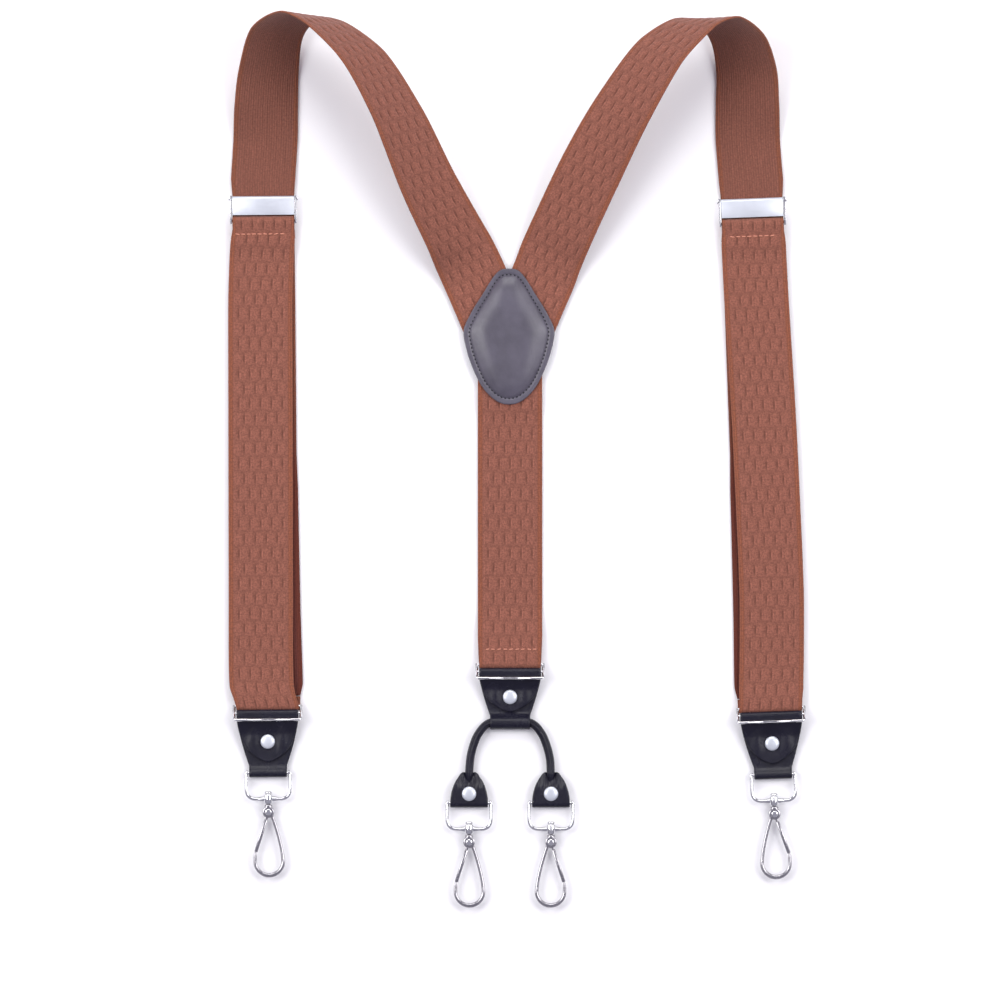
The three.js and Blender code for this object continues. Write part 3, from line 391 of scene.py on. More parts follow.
def tube(path, radius, around=16):
    """A round bar along a path; radius is one number or one for each point."""
    path = np.asarray(path, float)
    count = len(path)
    ahead = np.roll(path, -1, 0) - np.roll(path, 1, 0)
    ahead[0], ahead[-1] = path[1] - path[0], path[-1] - path[-2]
    ahead /= np.linalg.norm(ahead, axis=1)[:, None]
    radii = np.broadcast_to(np.asarray(radius, float), (count,))
    up = np.array([0.0, 0.0, 1.0]) if abs(ahead[0][2]) < 0.9 else np.array([1.0, 0.0, 0.0])
    rings = []
    for at, t, r in zip(path, ahead, radii):
        side = np.cross(t, up)
        side /= np.linalg.norm(side)
        up = np.cross(side, t)
        angle = np.linspace(0, 2 * np.pi, around, endpoint=False) + np.pi / around
        rings.append(at + r * (np.cos(angle)[:, None] * side + np.sin(angle)[:, None] * up))
    return loft(rings)


def rounded_bar(start, end, radius, around=16, ends=4):
    """A bar with domed ends, from centre to centre of its domes."""
    start, end = np.asarray(start, float), np.asarray(end, float)
    along = (end - start) / np.linalg.norm(end - start)
    turn = np.linspace(0.12, np.pi / 2, ends)
    first = [(start - along * radius * math.cos(a), radius * math.sin(a)) for a in turn]
    last = [(end + along * radius * math.cos(a), radius * math.sin(a)) for a in turn[::-1]]
    path, radii = zip(*(first + last))
    return tube(path, radii, around)


def lathe(profile, around=40):
    """Turned about Z; the profile is radius and height from the lower middle to the upper."""
    angle = np.linspace(0, 2 * np.pi, around, endpoint=False)
    rings = [np.stack([r * np.cos(angle), r * np.sin(angle), np.full(around, z)], 1) for r, z in profile]
    points, faces = loft(rings, closed_ends=False)
    ends = []
    for base, (_, z) in ((0, profile[0]), ((len(profile) - 1) * around, profile[-1])):
        centre = len(points) + len(ends)
        ends.append((0.0, 0.0, z))
        faces += [(centre, base + (j + 1) % around, base + j) for j in range(around)]
    return np.concatenate([points, np.array(ends)]), faces


def laid_along(shape):
    """A lathed shape laid along Y."""
    points, faces = shape
    x, y, z = np.asarray(points).T
    return np.stack([y, z, x], 1), faces


def quadratic(a, b, c, count=12):
    t = np.linspace(0, 1, count)[:, None]
    a, b, c = (np.asarray(p, float) for p in (a, b, c))
    return (1 - t) ** 2 * a + 2 * t * (1 - t) * b + t ** 2 * c


def side_arc(y, z, radius, start, stop, count):
    angle = np.radians(np.linspace(start, stop, count))
    return [(y + radius * math.cos(a), z + radius * math.sin(a)) for a in angle]


def wrap_round(start, centre, radius, stop, count):
    """The side-view points of a strip that runs straight to a bar, round its far side and away."""
    def touching(point, sign):
        y, z = point[0] - centre[0], point[1] - centre[1]
        return math.degrees(math.atan2(z, y) + sign * math.acos(radius / math.hypot(y, z)))
    return [start, *side_arc(*centre, radius, touching(start, 1), 360 + touching(stop, -1), count), stop]


def gentle_samples(points, step):
    """Evenly spaced samples of a limited-handle Bezier chain: place, tangent and station number."""
    points = np.asarray(points, float)
    spans = points[1:] - points[:-1]
    lengths = np.linalg.norm(spans, axis=1)
    before = np.concatenate([spans[:1], spans])
    after = np.concatenate([spans, spans[-1:]])
    short = np.minimum(np.linalg.norm(before, axis=1), np.linalg.norm(after, axis=1)) / 3
    way = before / np.linalg.norm(before, axis=1)[:, None] + after / np.linalg.norm(after, axis=1)[:, None]
    handles = way / np.linalg.norm(way, axis=1)[:, None] * short[:, None]
    place, tangent, number = [], [], []
    for i in range(len(spans)):
        a, b, c, d = points[i], points[i] + handles[i], points[i + 1] - handles[i + 1], points[i + 1]
        t = np.linspace(0, 1, max(8, int(lengths[i] / 0.3)), endpoint=i == len(spans) - 1)
        s, u = t[:, None], 1 - t[:, None]
        place.append(u ** 3 * a + 3 * u * u * s * b + 3 * u * s * s * c + s ** 3 * d)
        tangent.append(3 * u * u * (b - a) + 6 * u * s * (c - b) + 3 * s * s * (d - c))
        number.append(i + t)
    place, tangent, number = np.concatenate(place), np.concatenate(tangent), np.concatenate(number)
    run = np.concatenate([[0], np.cumsum(np.linalg.norm(np.diff(place, axis=0), axis=1))])
    even = np.linspace(0, run[-1], max(2, int(round(run[-1] / step)) + 1))
    place, tangent = (
        np.stack([np.interp(even, run, column) for column in values.T], 1) for values in (place, tangent)
    )
    return place, tangent / np.linalg.norm(tangent, axis=1)[:, None], np.interp(even, run, number), even


def woven_relief(across, along):
    """Height of the webbing's face: puffed lozenges between staggered slits, flat at the selvages."""
    wave_across, wave_along = np.cos(2 * np.pi * across / PIT_ACROSS), np.cos(np.pi * along / PIT_ALONG)
    lattice = wave_across * wave_along
    inside = np.clip((14.4 - np.abs(across)) / 1.0, 0, 1)
    slit = np.where(lattice > 0, np.abs(wave_across) ** 5 * np.abs(wave_along) ** 1.5, 0)
    puff = 0.15 * -lattice - 0.42 * slit
    selvage = 0.05 * np.cos(2 * np.pi * (np.abs(across) - 15.6) / 1.7)
    return puff * inside + selvage * (1 - inside)


def webbing(name, stations, face, mat, spot=(0, 0, 0), start=0.0, shaded_stretch=0.0):
    """Webbing along stations of (place, across, width).

    face is the side, +1 or -1, of its normal. Along its last stretch, of the length given, the
    webbing's edges are painted darker: painted shade where another layer lies on it there at rest.
    """
    place, tangent, number, run = gentle_samples([s[0] for s in stations], 1.0)
    low = np.minimum(number.astype(int), len(stations) - 2)
    share = (number - low)[:, None]
    sides = np.array([s[1] for s in stations], float)
    across = sides[low] * (1 - share) + sides[low + 1] * share
    across /= np.linalg.norm(across, axis=1)[:, None]
    width = np.interp(number, range(len(stations)), [s[2] for s in stations])
    normal = np.cross(across, tangent)
    normal /= np.linalg.norm(normal, axis=1)[:, None]
    unit = np.linspace(-1, 1, 65)
    u = unit[None, :] * width[:, None] / 2
    v = np.broadcast_to((run + start)[:, None], u.shape)
    edge = np.clip((np.abs(u) - width[:, None] / 2 + 0.9) / 0.9, 0, 1)
    half = 0.63 * np.sqrt(np.clip(1 - 0.85 * edge ** 2, 0, 1))
    front = half + woven_relief(u, v)
    back = half + 0.03 * np.cos(2 * np.pi * u / (2 * RIB_PITCH))
    line = place[:, None, :] + across[:, None, :] * u[:, :, None]
    top = line + normal[:, None, :] * (face * front)[:, :, None]
    bottom = line - normal[:, None, :] * (face * back)[:, :, None]
    rings = np.concatenate([top, bottom[:, ::-1]], 1)
    points, faces = loft(rings)
    uv = np.concatenate([np.stack([u, v], 2), np.stack([u, v], 2)[:, ::-1]], 1).reshape(-1, 2) * MM
    reverse = np.concatenate([np.zeros_like(u), np.ones_like(u)], 1).ravel()
    # Painted shade: over the last stretch, which another layer covers at rest, the edges darken, fading in
    # over its first 60 mm.
    margin = np.clip((np.abs(u) - 8.0) / 3.0, 0, 1)
    deep = margin * np.clip((v - start - run[-1] + shaded_stretch) / 60.0, 0, 1) if shaded_stretch else np.zeros_like(u)
    under = np.concatenate([deep, deep], 1).ravel()
    piece = add_piece(name, points, faces, mat, spot, uv=uv, floats={"reverse": reverse, "under": under})
    return piece, float(run[-1])


def cut_away(piece, point, normal):
    """Trims what lies on the normal's side of a plane, given in millimetres, and closes the cut."""
    shell = bmesh.new()
    shell.from_mesh(piece.data)
    everything = shell.verts[:] + shell.edges[:] + shell.faces[:]
    cut = bmesh.ops.bisect_plane(
        shell, geom=everything, dist=1e-7, plane_co=Vector(point) * MM, plane_no=normal, clear_outer=True,
    )
    edges = [e for e in cut["geom_cut"] if isinstance(e, bmesh.types.BMEdge) and e.is_boundary]
    if edges:
        bmesh.ops.holes_fill(shell, edges=edges, sides=0)
    shell.to_mesh(piece.data)
    shell.free()


def flat_stations(points, x, width):
    return [
        ((x[i] if np.ndim(x) else x, y, z), (1.0, 0.0, 0.0), width[i] if np.ndim(width) else width)
        for i, (y, z) in enumerate(points)
    ]


def strip_shape(path, half_width, thickness=LEATHER, columns=22, lift=None, step=0.8):
    """Leather along side-view points, half_width(y) wide, with rounded edges."""
    path = np.asarray(path, float)
    line = np.column_stack([np.zeros(len(path)), path])
    place, tangent, _, _ = gentle_samples(line, step)
    normal = np.cross([1.0, 0.0, 0.0], tangent)
    y = place[:, 1]
    half = np.array([max(half_width(value), 0.25) for value in y])
    unit = np.linspace(-1, 1, columns + 1)
    unit = np.sign(unit) * np.abs(unit) ** 0.8
    u = unit[None, :] * half[:, None]
    edge = np.clip((np.abs(u) - half[:, None] + 0.55) / 0.55, 0, 1)
    thin = thickness / 2 * np.sqrt(np.clip(1 - 0.9 * edge ** 2, 0, 1))
    rise = lift(u, y[:, None]) if lift else 0.0
    line = place[:, None, :] + np.array([1.0, 0, 0]) * u[:, :, None]
    top = line + normal[:, None, :] * (thin + rise)[:, :, None]
    bottom = line - normal[:, None, :] * (thin - rise)[:, :, None]
    return loft(np.concatenate([top, bottom[:, ::-1]], 1))


def smooth_by_angle(piece, degrees):
    piece.data.shade_smooth()
    piece.data.set_sharp_from_angle(angle=math.radians(degrees))


def softened_copy(name, node, mat, width):
    """A CAD node's shape with its edges rounded."""
    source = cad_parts[node]
    mesh = source.data.copy()
    mesh.name = name
    shell = bmesh.new()
    shell.from_mesh(mesh)
    bmesh.ops.remove_doubles(shell, verts=shell.verts, dist=2e-6)
    bmesh.ops.dissolve_limit(shell, angle_limit=math.radians(2), verts=shell.verts, edges=shell.edges)
    shell.to_mesh(mesh)
    shell.free()
    mesh.materials.clear()
    mesh.materials.append(mat)
    for name_of_layer in [layer.name for layer in mesh.uv_layers]:
        mesh.uv_layers.remove(mesh.uv_layers[name_of_layer])
    piece = bpy.data.objects.new(name, mesh)
    bpy.context.scene.collection.objects.link(piece)
    bevel = piece.modifiers.new("rounded_edges", "BEVEL")
    bevel.width = width * MM
    bevel.segments = 2
    bevel.limit_method = "ANGLE"
    bevel.angle_limit = math.radians(42)
    bevel.harden_normals = False
    apply_modifiers(piece)
    smooth_by_angle(piece, 32)
    return piece


def apply_modifiers(piece):
    bpy.context.view_layer.update()
    evaluated = piece.evaluated_get(bpy.context.evaluated_depsgraph_get())
    mesh = bpy.data.meshes.new_from_object(evaluated)
    piece.modifiers.clear()
    piece.data = mesh


def settle(piece, body, node):
    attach(piece, body)
    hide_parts(*([node] if isinstance(node, str) else node))
    return piece


def at_spot(point, spot):
    return tuple(spot_matrix(spot) @ Vector(point))


def stitches(name, ends, radius, mat, spot=(0, 0, 0)):
    """Short raised threads, each from one point to another."""
    shapes = []
    for a, b in ends:
        a, b = np.asarray(a, float), np.asarray(b, float)
        t = np.linspace(0, 1, 7)[:, None]
        path = a + (b - a) * t - np.array([0, 0, 1.0]) * (radius * 1.5 * (2 * t - 1) ** 4)
        swell = radius * (1 - 0.45 * (2 * t[:, 0] - 1) ** 4)
        shapes.append(tube(path, swell, 8))
    points, faces = join_shapes(*shapes)
    return add_piece(name, points, faces, mat, spot)


# ---- Webbing ----

def band_material():
    look = bpy.context.scene.suspenders_webbing
    return material("brown_elastic_webbing", webbing_finish, look.colour, look.selvage)


def thread_material():
    look = bpy.context.scene.suspenders_webbing
    return material("stitching_thread", thread_finish, look.thread)


def leather_material():
    look = bpy.context.scene.suspenders_leather
    return material("black_leather", leather_finish, look.tab_colour, look.tab_gloss, 1.0, 0.15)


def yoke_material():
    look = bpy.context.scene.suspenders_leather
    return material("padded_leather", leather_finish, look.yoke_colour, look.yoke_gloss, 1.0, 0.8)


def nickel_material():
    look = bpy.context.scene.suspenders_metal
    return material("bright_nickel", nickel_finish, look.colour, look.roughness, 1.0)


def cast_material():
    look = bpy.context.scene.suspenders_metal
    return material("cast_nickel", nickel_finish, look.cast, look.roughness + 0.11, 1.0)


def satin_material():
    look = bpy.context.scene.suspenders_metal
    return material("satin_nickel", nickel_finish, look.satin, look.satin_roughness, 0.45)


def loop_stations(loop, side):
    shoulder = []
    for x, y, z, heading, raised in loop:
        yaw, lift = math.radians(heading), math.radians(raised)
        across = (math.cos(yaw) * math.cos(lift), math.sin(yaw) * math.cos(lift), math.sin(lift))
        shoulder.append(((x, y, z), across, WEB_WIDTH))
    entry = np.array([*shoulder[-1][1][:2], 0.0])
    entry /= np.linalg.norm(entry)
    under = [((x * side, y, YOKE_WEB_Z), entry, WEB_WIDTH) for x, y in ((1.6, -11), (10.2, 10.5), (18.6, 30))]
    return under + shoulder[::-1]


def leg_stations(side, spot):
    x, y, lean = spot
    turn = math.radians(lean)
    outward_way = (side * math.cos(turn), side * math.sin(turn), 0.0)
    bar_y = FRONT_FOLD + FOLD_TO_BAR
    down = [
        (14, CLAMP_WEB_Z, 0, WEB_WIDTH), (5.0, CLAMP_WEB_Z, 0, PINCHED), (-4.6, CLAMP_WEB_Z, 0, PINCHED),
        (BAR_Y, FLOOR_WEB_Z, 0, PINCHED), (BAR_Y - 6, FLOOR_WEB_Z, 0, PINCHED),
        (-70, FLOOR_WEB_Z, 0, PINCHED + 0.2), (-132, FLOOR_WEB_Z, 0, PINCHED + 0.2),
        (-150, FLOOR_WEB_Z, 0, WEB_WIDTH),
        (-215, FLOOR_WEB_Z, -0.8, WEB_WIDTH), (bar_y + 12, FLOOR_WEB_Z, -1.7, WEB_WIDTH),
        (bar_y + 5.5, LOOP_BAR_Z - WRAP, -0.7, WEB_WIDTH - 0.8),
    ]
    return [
        (
            (x + math.cos(turn) * out * side - math.sin(turn) * along,
             y + math.sin(turn) * out * side + math.cos(turn) * along, z),
            outward_way, width,
        )
        for along, z, out, width in down
    ]


def build_shoulder_strap(name):
    side, x, y, lean = LEGS[name]
    loop = LEFT_LOOP if name == "left" else RIGHT_LOOP
    spot = (x, y, lean)
    stations = loop_stations(loop, side) + leg_stations(side, spot)
    strap, length = webbing(f"{name}_shoulder_webbing", stations, side, band_material(), shaded_stretch=175.0)
    cut_away(strap, (side * 0.15, 0, 0), (-side, 0, 0))
    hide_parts(f"{name}_strap")
    at_spot((0, -22, 1), spot)
    at_spot((0, FRONT_FOLD + 34, 1), spot)
    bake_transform(strap)


def build_strap_return(name):
    side, x, y, lean = LEGS[name]
    spot = (x, y, lean)
    bar_y = FRONT_FOLD + FOLD_TO_BAR
    points = [
        (bar_y + 5.2, LOOP_BAR_Z - WRAP), *side_arc(bar_y, LOOP_BAR_Z, WRAP, 270, 90, 8),
        (bar_y + 5, LOOP_BAR_Z + 1.75), (bar_y + 10, SECOND_WEB_Z + 1.1), (bar_y + 17, SECOND_WEB_Z + 0.5),
        (bar_y + 28, SECOND_WEB_Z),
        (-205, SECOND_WEB_Z), (-120, SECOND_WEB_Z), (-50, SECOND_WEB_Z), (-27, SECOND_WEB_Z + 0.2),
        (-19.5, SECOND_WEB_Z + WEB_THICK + GAP), (-14.5, SECOND_WEB_Z + WEB_THICK + 2.5 * GAP),
        *side_arc(BAR_Y, BAR_Z, WRAP, 100, -90, 8), (BAR_Y - 4, SECOND_WEB_Z), (BAR_Y - 9.5, SECOND_WEB_Z),
    ]
    along = np.array([p[0] for p in points])
    if name == "left":
        bow = np.interp(along, *zip(*LEFT_BOW))
    else:
        bow = 3.1 * np.sin(np.pi * np.clip(along / bar_y, 0, 1) ** 1.7)
    bow[:9] = np.linspace(-0.7, 0.0, 9)
    width = [PINCHED + 0.6 if y < bar_y + 6 else PINCHED if y > BAR_Y - 6.5 else WEB_WIDTH for y in along]
    stations = flat_stations(points, side * bow, width)
    front, length = webbing(f"{name}_front_webbing", stations, 1, band_material(), spot, start=3.0)
    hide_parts(f"{name}_strap_return")
    at_spot((0, FRONT_FOLD + 34, 3), spot)
    at_spot((0, -24, 3), spot)
    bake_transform(front)
    low, high, count = (-15.2, 11.5, 9) if name == "left" else (-12.6, 12.0, 8)
    top = SECOND_WEB_Z + WEB_THICK + 2.5 * GAP + 0.72
    ends = seam_dashes(low, high, -15.6, top, count, 1)
    row = stitches(f"{name}_front_stitches", ends, SEAM_THREAD, thread_material(), spot)
    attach(row, f"{name}_adjuster")


def seam_dashes(low, high, y, z, count, seed):
    """A hand-guided row of stitches across the webbing, a little uneven in place, length and slant."""
    uneven = np.random.default_rng(seed)
    pitch = (high - low) / count
    ends = []
    for i in range(count):
        start = low + pitch * i + uneven.uniform(0, 0.35)
        long = pitch * uneven.uniform(0.66, 0.82)
        rise = uneven.uniform(-0.25, 0.25)
        ends.append(((start, y - rise, z), (start + long, y + rise, z)))
    return ends


def build_back_strap():
    bar_y = BACK_FOLD + FOLD_TO_BAR
    tail = bar_y + 14.5
    points = [
        (-6.3, YOKE_WEB_Z), (-YOKE_BOTTOM + 1, YOKE_WEB_Z), (-YOKE_BOTTOM - 9, FLOOR_WEB_Z),
        (-90, FLOOR_WEB_Z), (tail + 16, FLOOR_WEB_Z), (tail + 1, SECOND_WEB_Z + 0.4),
        (bar_y + 6, SECOND_WEB_Z + 1.4), *side_arc(bar_y, LOOP_BAR_Z, WRAP, 90, 270, 8),
        (tail, LOOP_BAR_Z - WRAP),
    ]
    width = [PINCHED if y < bar_y + 7 else WEB_WIDTH for y, _ in points]
    strap, length = webbing("back_webbing", flat_stations(points, BACK_SPOT[0], width), -1, band_material())
    settle(strap, "root", "back_strap")
    ends = seam_dashes(-13.0, 15.6, -169.3, SECOND_WEB_Z + 1.75, 9, 4)
    row = stitches("back_stitches", ends, SEAM_THREAD, thread_material())
    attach(row, "root")


# ---- Yoke ----

# The right half of the patch's edge, from the top down.
YOKE_RIGHT = [
    (0.0, 33.8), (2.6, 33.75), (4.6, 33.2), (6.5, 31.7), (8.7, 28.9), (11.0, 25.4), (13.1, 21.7),
    (15.5, 18.0), (17.9, 14.3), (20.1, 10.5), (22.1, 6.7), (23.9, 2.9), (24.5, -0.4), (23.9, -4.7),
    (22.0, -12.3), (19.9, -18.2), (17.5, -23.7), (15.5, -27.6), (13.0, -31.3), (9.8, -34.7),
    (6.6, -37.1), (3.4, -38.5), (0.0, -38.8),
]


def yoke_outline(inset):
    """The patch's edge, or a smaller copy that stands inset from it."""
    right = np.array(YOKE_RIGHT)
    scale = np.where(right[:, 1] > 0, 1 - inset / YOKE_TOP, 1 - inset / YOKE_BOTTOM)
    right = np.stack([right[:, 0] * (1 - inset / YOKE_HALF), right[:, 1] * scale], 1)
    left = right[-2:0:-1] * [-1, 1]
    return evened(np.concatenate([right, left]))


def evened(outline, count=220):
    closed = np.concatenate([outline, outline[:1]])
    run = np.concatenate([[0], np.cumsum(np.linalg.norm(np.diff(closed, axis=0), axis=1))])
    even = np.linspace(0, run[-1], count, endpoint=False)
    ring = np.stack([np.interp(even, run, column) for column in closed.T], 1)
    for _ in range(3):
        ring = 0.5 * ring + 0.25 * (np.roll(ring, 1, 0) + np.roll(ring, -1, 0))
    return ring


def patch_shape(low, high_at, inner_inset=9.0, rings_inside=16):
    """A sewn patch: rounded edge, then rings inward whose height is high_at(distance from the edge)."""
    thick = high_at(0.6) - low
    rim = [(0.45, low), (0.12, low + 0.16 * thick), (0.0, low + 0.5 * thick), (0.12, low + 0.86 * thick)]
    steps = [0.45, 0.9, 1.5, 2.1, 2.6, 2.9, 3.2, 3.5, 3.9, 4.6, 5.4, 6.4, 7.6, inner_inset]
    rings = []
    for inset, z in [*rim, *[(d, high_at(d)) for d in steps]]:
        outline = yoke_outline(inset)
        rings.append(np.column_stack([outline, np.full(len(outline), z)]))
    centre = np.array([0.0, -1.5])
    inner = yoke_outline(inner_inset)
    for i in range(1, rings_inside):
        share = 1 - i / rings_inside
        flat = centre + (inner - centre) * share
        z = high_at(inner_inset + (YOKE_HALF - inner_inset) * (1 - share))
        rings.append(np.column_stack([flat, np.full(len(flat), z)]))
    points, faces = loft(rings, closed_ends=False)
    around = len(inner)
    last = (len(rings) - 1) * around
    points = np.concatenate([points, [(*centre, high_at(YOKE_HALF)), (*centre, low)]])
    top, under = len(points) - 2, len(points) - 1
    for j in range(around):
        k = (j + 1) % around
        faces += [(top, last + j, last + k), (under, k, j)]
    return points, faces


def build_yoke():
    look = bpy.context.scene.suspenders_leather
    leather = yoke_material()
    puff = look.yoke_puff / MM

    def front_height(d):
        rim = RIM_TOP - 0.30 * math.exp(-((d - YOKE_SEAM) / 0.55) ** 2)
        rise = min(max((d - 3.4) / 11.0, 0), 1)
        return rim + puff * math.sin(rise * math.pi / 2) ** 0.9

    def back_height(d):
        return 0.1 + 0.12 * math.exp(-((d - YOKE_SEAM) / 0.5) ** 2)

    points, faces = patch_shape(PATCH_Z, front_height)
    x, y, z = points.T
    wave = 0.10 * np.sin(y / 5.2 + 0.9) * np.sin(x / 6.3) + 0.07 * np.sin(x / 2.9 + y / 8)
    raised = np.clip((z - 4.4) / 1.0, 0, 1)
    points[:, 2] += wave * raised
    front = add_piece("yoke_front_patch", points, faces, leather)
    settle(front, "root", ["yoke_patch_front", "yoke_padding"])
    points, faces = patch_shape(1.2, back_height)
    back = add_piece("yoke_back_patch", points, faces, leather)
    settle(back, "root", "yoke_patch_back")
    seam = yoke_outline(YOKE_SEAM)
    closed = np.concatenate([seam, seam[:1]])
    run = np.concatenate([[0], np.cumsum(np.linalg.norm(np.diff(closed, axis=0), axis=1))])
    count = int(run[-1] / look.stitch_pitch * MM)
    uneven = np.random.default_rng(7)
    thread = material("black_thread", thread_finish, (0.012, 0.011, 0.016))
    for name, z in (("yoke_front_stitches", front_height(YOKE_SEAM) + 0.24), ("yoke_back_stitches", 0.15)):
        ends = []
        for i in range(count):
            pair = []
            for share in (0.28, 0.60):
                at = (i + share) * run[-1] / count
                x, y = (np.interp(at, run, column) for column in closed.T)
                pair.append((x + uneven.normal(0, 0.05), y + uneven.normal(0, 0.05), z))
            ends.append(pair)
        row = stitches(name, ends, 0.33, thread)
        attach(row, "root")


# ---- Leather tabs ----

def loop_bars(fold):
    top = fold + FOLD_TO_BAR
    return [(top - a * math.cos(LOOP_TILT), LOOP_BAR_Z + a * math.sin(LOOP_TILT)) for a in (0, 5.0, 9.5)]


def width_from(curves):
    """half_width(y) from outline points of (x, y), y falling."""
    outline = np.concatenate(curves)
    order = np.argsort(outline[:, 1])
    ys, xs = outline[order, 1], outline[order, 0]
    return lambda y: float(np.interp(y, ys, xs))


def tab_shape(fold, tip, rivet, narrow, roll_y, roll_z, roll, end_half):
    _, middle, keeper = loop_bars(fold)
    reach = fold - 3.5 - tip
    flap_width = width_from([np.array([(TAB_HALF, fold + 20), *[
        (half, fold - 3.5 - share * reach)
        for share, half in (
            (0, TAB_HALF), (0.1, 16.3), (0.2, 15.9), (0.32, 15.3), (0.42, 14.6), (0.54, 13.4),
            (0.66, 11.7), (0.76, 9.8), (0.85, 7.4), (0.92, 5.0), (0.965, 2.8), (1.0, 0.0),
        )
    ]])])
    wide = fold - 3.5
    base_width = width_from([
        np.array([(TAB_HALF, fold + 20), (TAB_HALF, wide)]),
        quadratic((TAB_HALF, wide), (TAB_HALF - 1.2, (wide + narrow) / 2 + 2), (end_half, narrow)),
        np.array([(end_half, narrow - 0.1), (end_half, narrow - 60)]),
    ])
    loop_roll = BAR + 0.2 + LEATHER / 2
    flap = [
        (tip, FLAP_Z), (rivet + 4.2, FLAP_Z), (keeper[0] - 2.2, FLAP_Z + 1.9),
        (keeper[0], keeper[1] - BAR - 0.2 - LEATHER / 2 - 0.4), *side_arc(*middle, loop_roll, 100, -20, 7),
    ]
    roots = roll_y + roll + 2.4
    behind = [
        *side_arc(*middle, loop_roll, 20, -90, 7), (middle[0] - 4.5, BASE_Z + 0.6), (middle[0] - 9, BASE_Z),
        *wrap_round((roots, BASE_Z), (roll_y, roll_z), roll, (roots, RETURN_Z), 12), (rivet + 5, RETURN_Z),
    ]

    def cushioned(u, y):
        near = np.exp(-((u ** 2 + (y - rivet) ** 2) / 22.0))
        free = np.clip((fold - 5.5 - y) / 4.0, 0, 1) * np.clip((y - tip) / 5.0, 0, 1)
        pillow = 0.95 * np.exp(-((np.abs(u) - 7.8) / 3.0) ** 2) * np.exp(-((y - rivet - 1.5) / 7.0) ** 2)
        return pillow * free * (1 - near) - 0.2 * near

    return join_shapes(
        strip_shape(flap, flap_width, columns=34, lift=cushioned, step=0.5),
        strip_shape(behind, base_width, columns=26, step=0.7),
    )


def rivet_shapes(underside):
    seat = underside + GAP
    cap = [
        (1.2, 1.0), (1.2, seat), (3.6, seat), (3.8, seat + 0.12), (3.85, seat + 0.32), (3.72, seat + 0.55),
        (3.35, seat + 0.85), (2.7, seat + 1.12), (1.9, seat + 1.28), (1.0, seat + 1.37), (0.35, seat + 1.4),
    ]
    foot = [(3.4, 0.1), (3.6, 0.2), (3.6, 0.6), (3.4, 0.7)]
    return lathe(cap), lathe(foot)


def build_tab(name, fold, rivet, tip, roll_y, roll_z, roll, end_half, spot, body):
    shape = tab_shape(fold, tip, rivet, roll_y + 4, roll_y, roll_z, roll, end_half)
    tab = add_piece(f"{name}_leather_tab", *shape, leather_material(), spot)
    settle(tab, body, f"{name}_tab")
    add_rivet(name, rivet, FLAP_Z + LEATHER / 2 - 0.2, spot, body)
    bars = loop_bars(fold)
    wires = []
    corner = 1.2
    for y, z in bars[:2]:
        wires.append(rounded_bar((-LOOP_HALF + 0.3, y, z), (LOOP_HALF - 0.3, y, z), BAR))
    top, keeper = np.array(bars[0]), np.array(bars[2])
    down = (keeper - top) / np.linalg.norm(keeper - top)
    for side in (-1, 1):
        x = side * LOOP_HALF
        bend = [(x, *(top - down * 0.4)), (x, *(keeper - down * corner))]
        bend += [
            (x - side * corner * (1 - math.cos(a)), *(keeper - down * corner * (1 - math.sin(a))))
            for a in np.linspace(0.2, math.pi / 2, 6)
        ]
        bend.append((0.0, *keeper))
        wires.append(tube(bend, BAR))
    loop = add_piece(f"{name}_slide_loop_wire", *join_shapes(*wires), nickel_material(), spot)
    settle(loop, body, f"{name}_slide_loop")


def add_rivet(prefix, y, underside, spot, body, x=0.0):
    cap, foot = rivet_shapes(underside)
    piece = add_piece(f"{prefix}_rivet_dome", *moved(cap, x, y), satin_material(), spot)
    settle(piece, body, f"{prefix}_rivet_cap")
    piece = add_piece(f"{prefix}_rivet_foot", *moved(foot, x, y), nickel_material(), spot)
    settle(piece, body, f"{prefix}_rivet_base")


# ---- Adjusters ----

def build_adjuster(name):
    for node, body, width, metal in (
        ("adjuster_frame", "adjuster", 0.2, nickel_material()),
        ("adjuster_lever", "lever", 0.22, satin_material()),
        ("adjuster_pin", "adjuster", 0.12, nickel_material()),
    ):
        piece = softened_copy(f"{name}_{node}_metal", f"{name}_{node}", metal, width)
        settle(piece, f"{name}_{body}", f"{name}_{node}")


# ---- D-rings and hooks ----

RING_HALF, RING_DEPTH, RING_CORNER, RING_WIRE = 11.7, 13.9, 5.4, 1.0
PIVOT_DROP, BOSS = 6.9, 2.5
BAY_X, BAY_Y, BAY_RADIUS, NOSE_Y = 0.2, -26.3, 7.5, -21.4


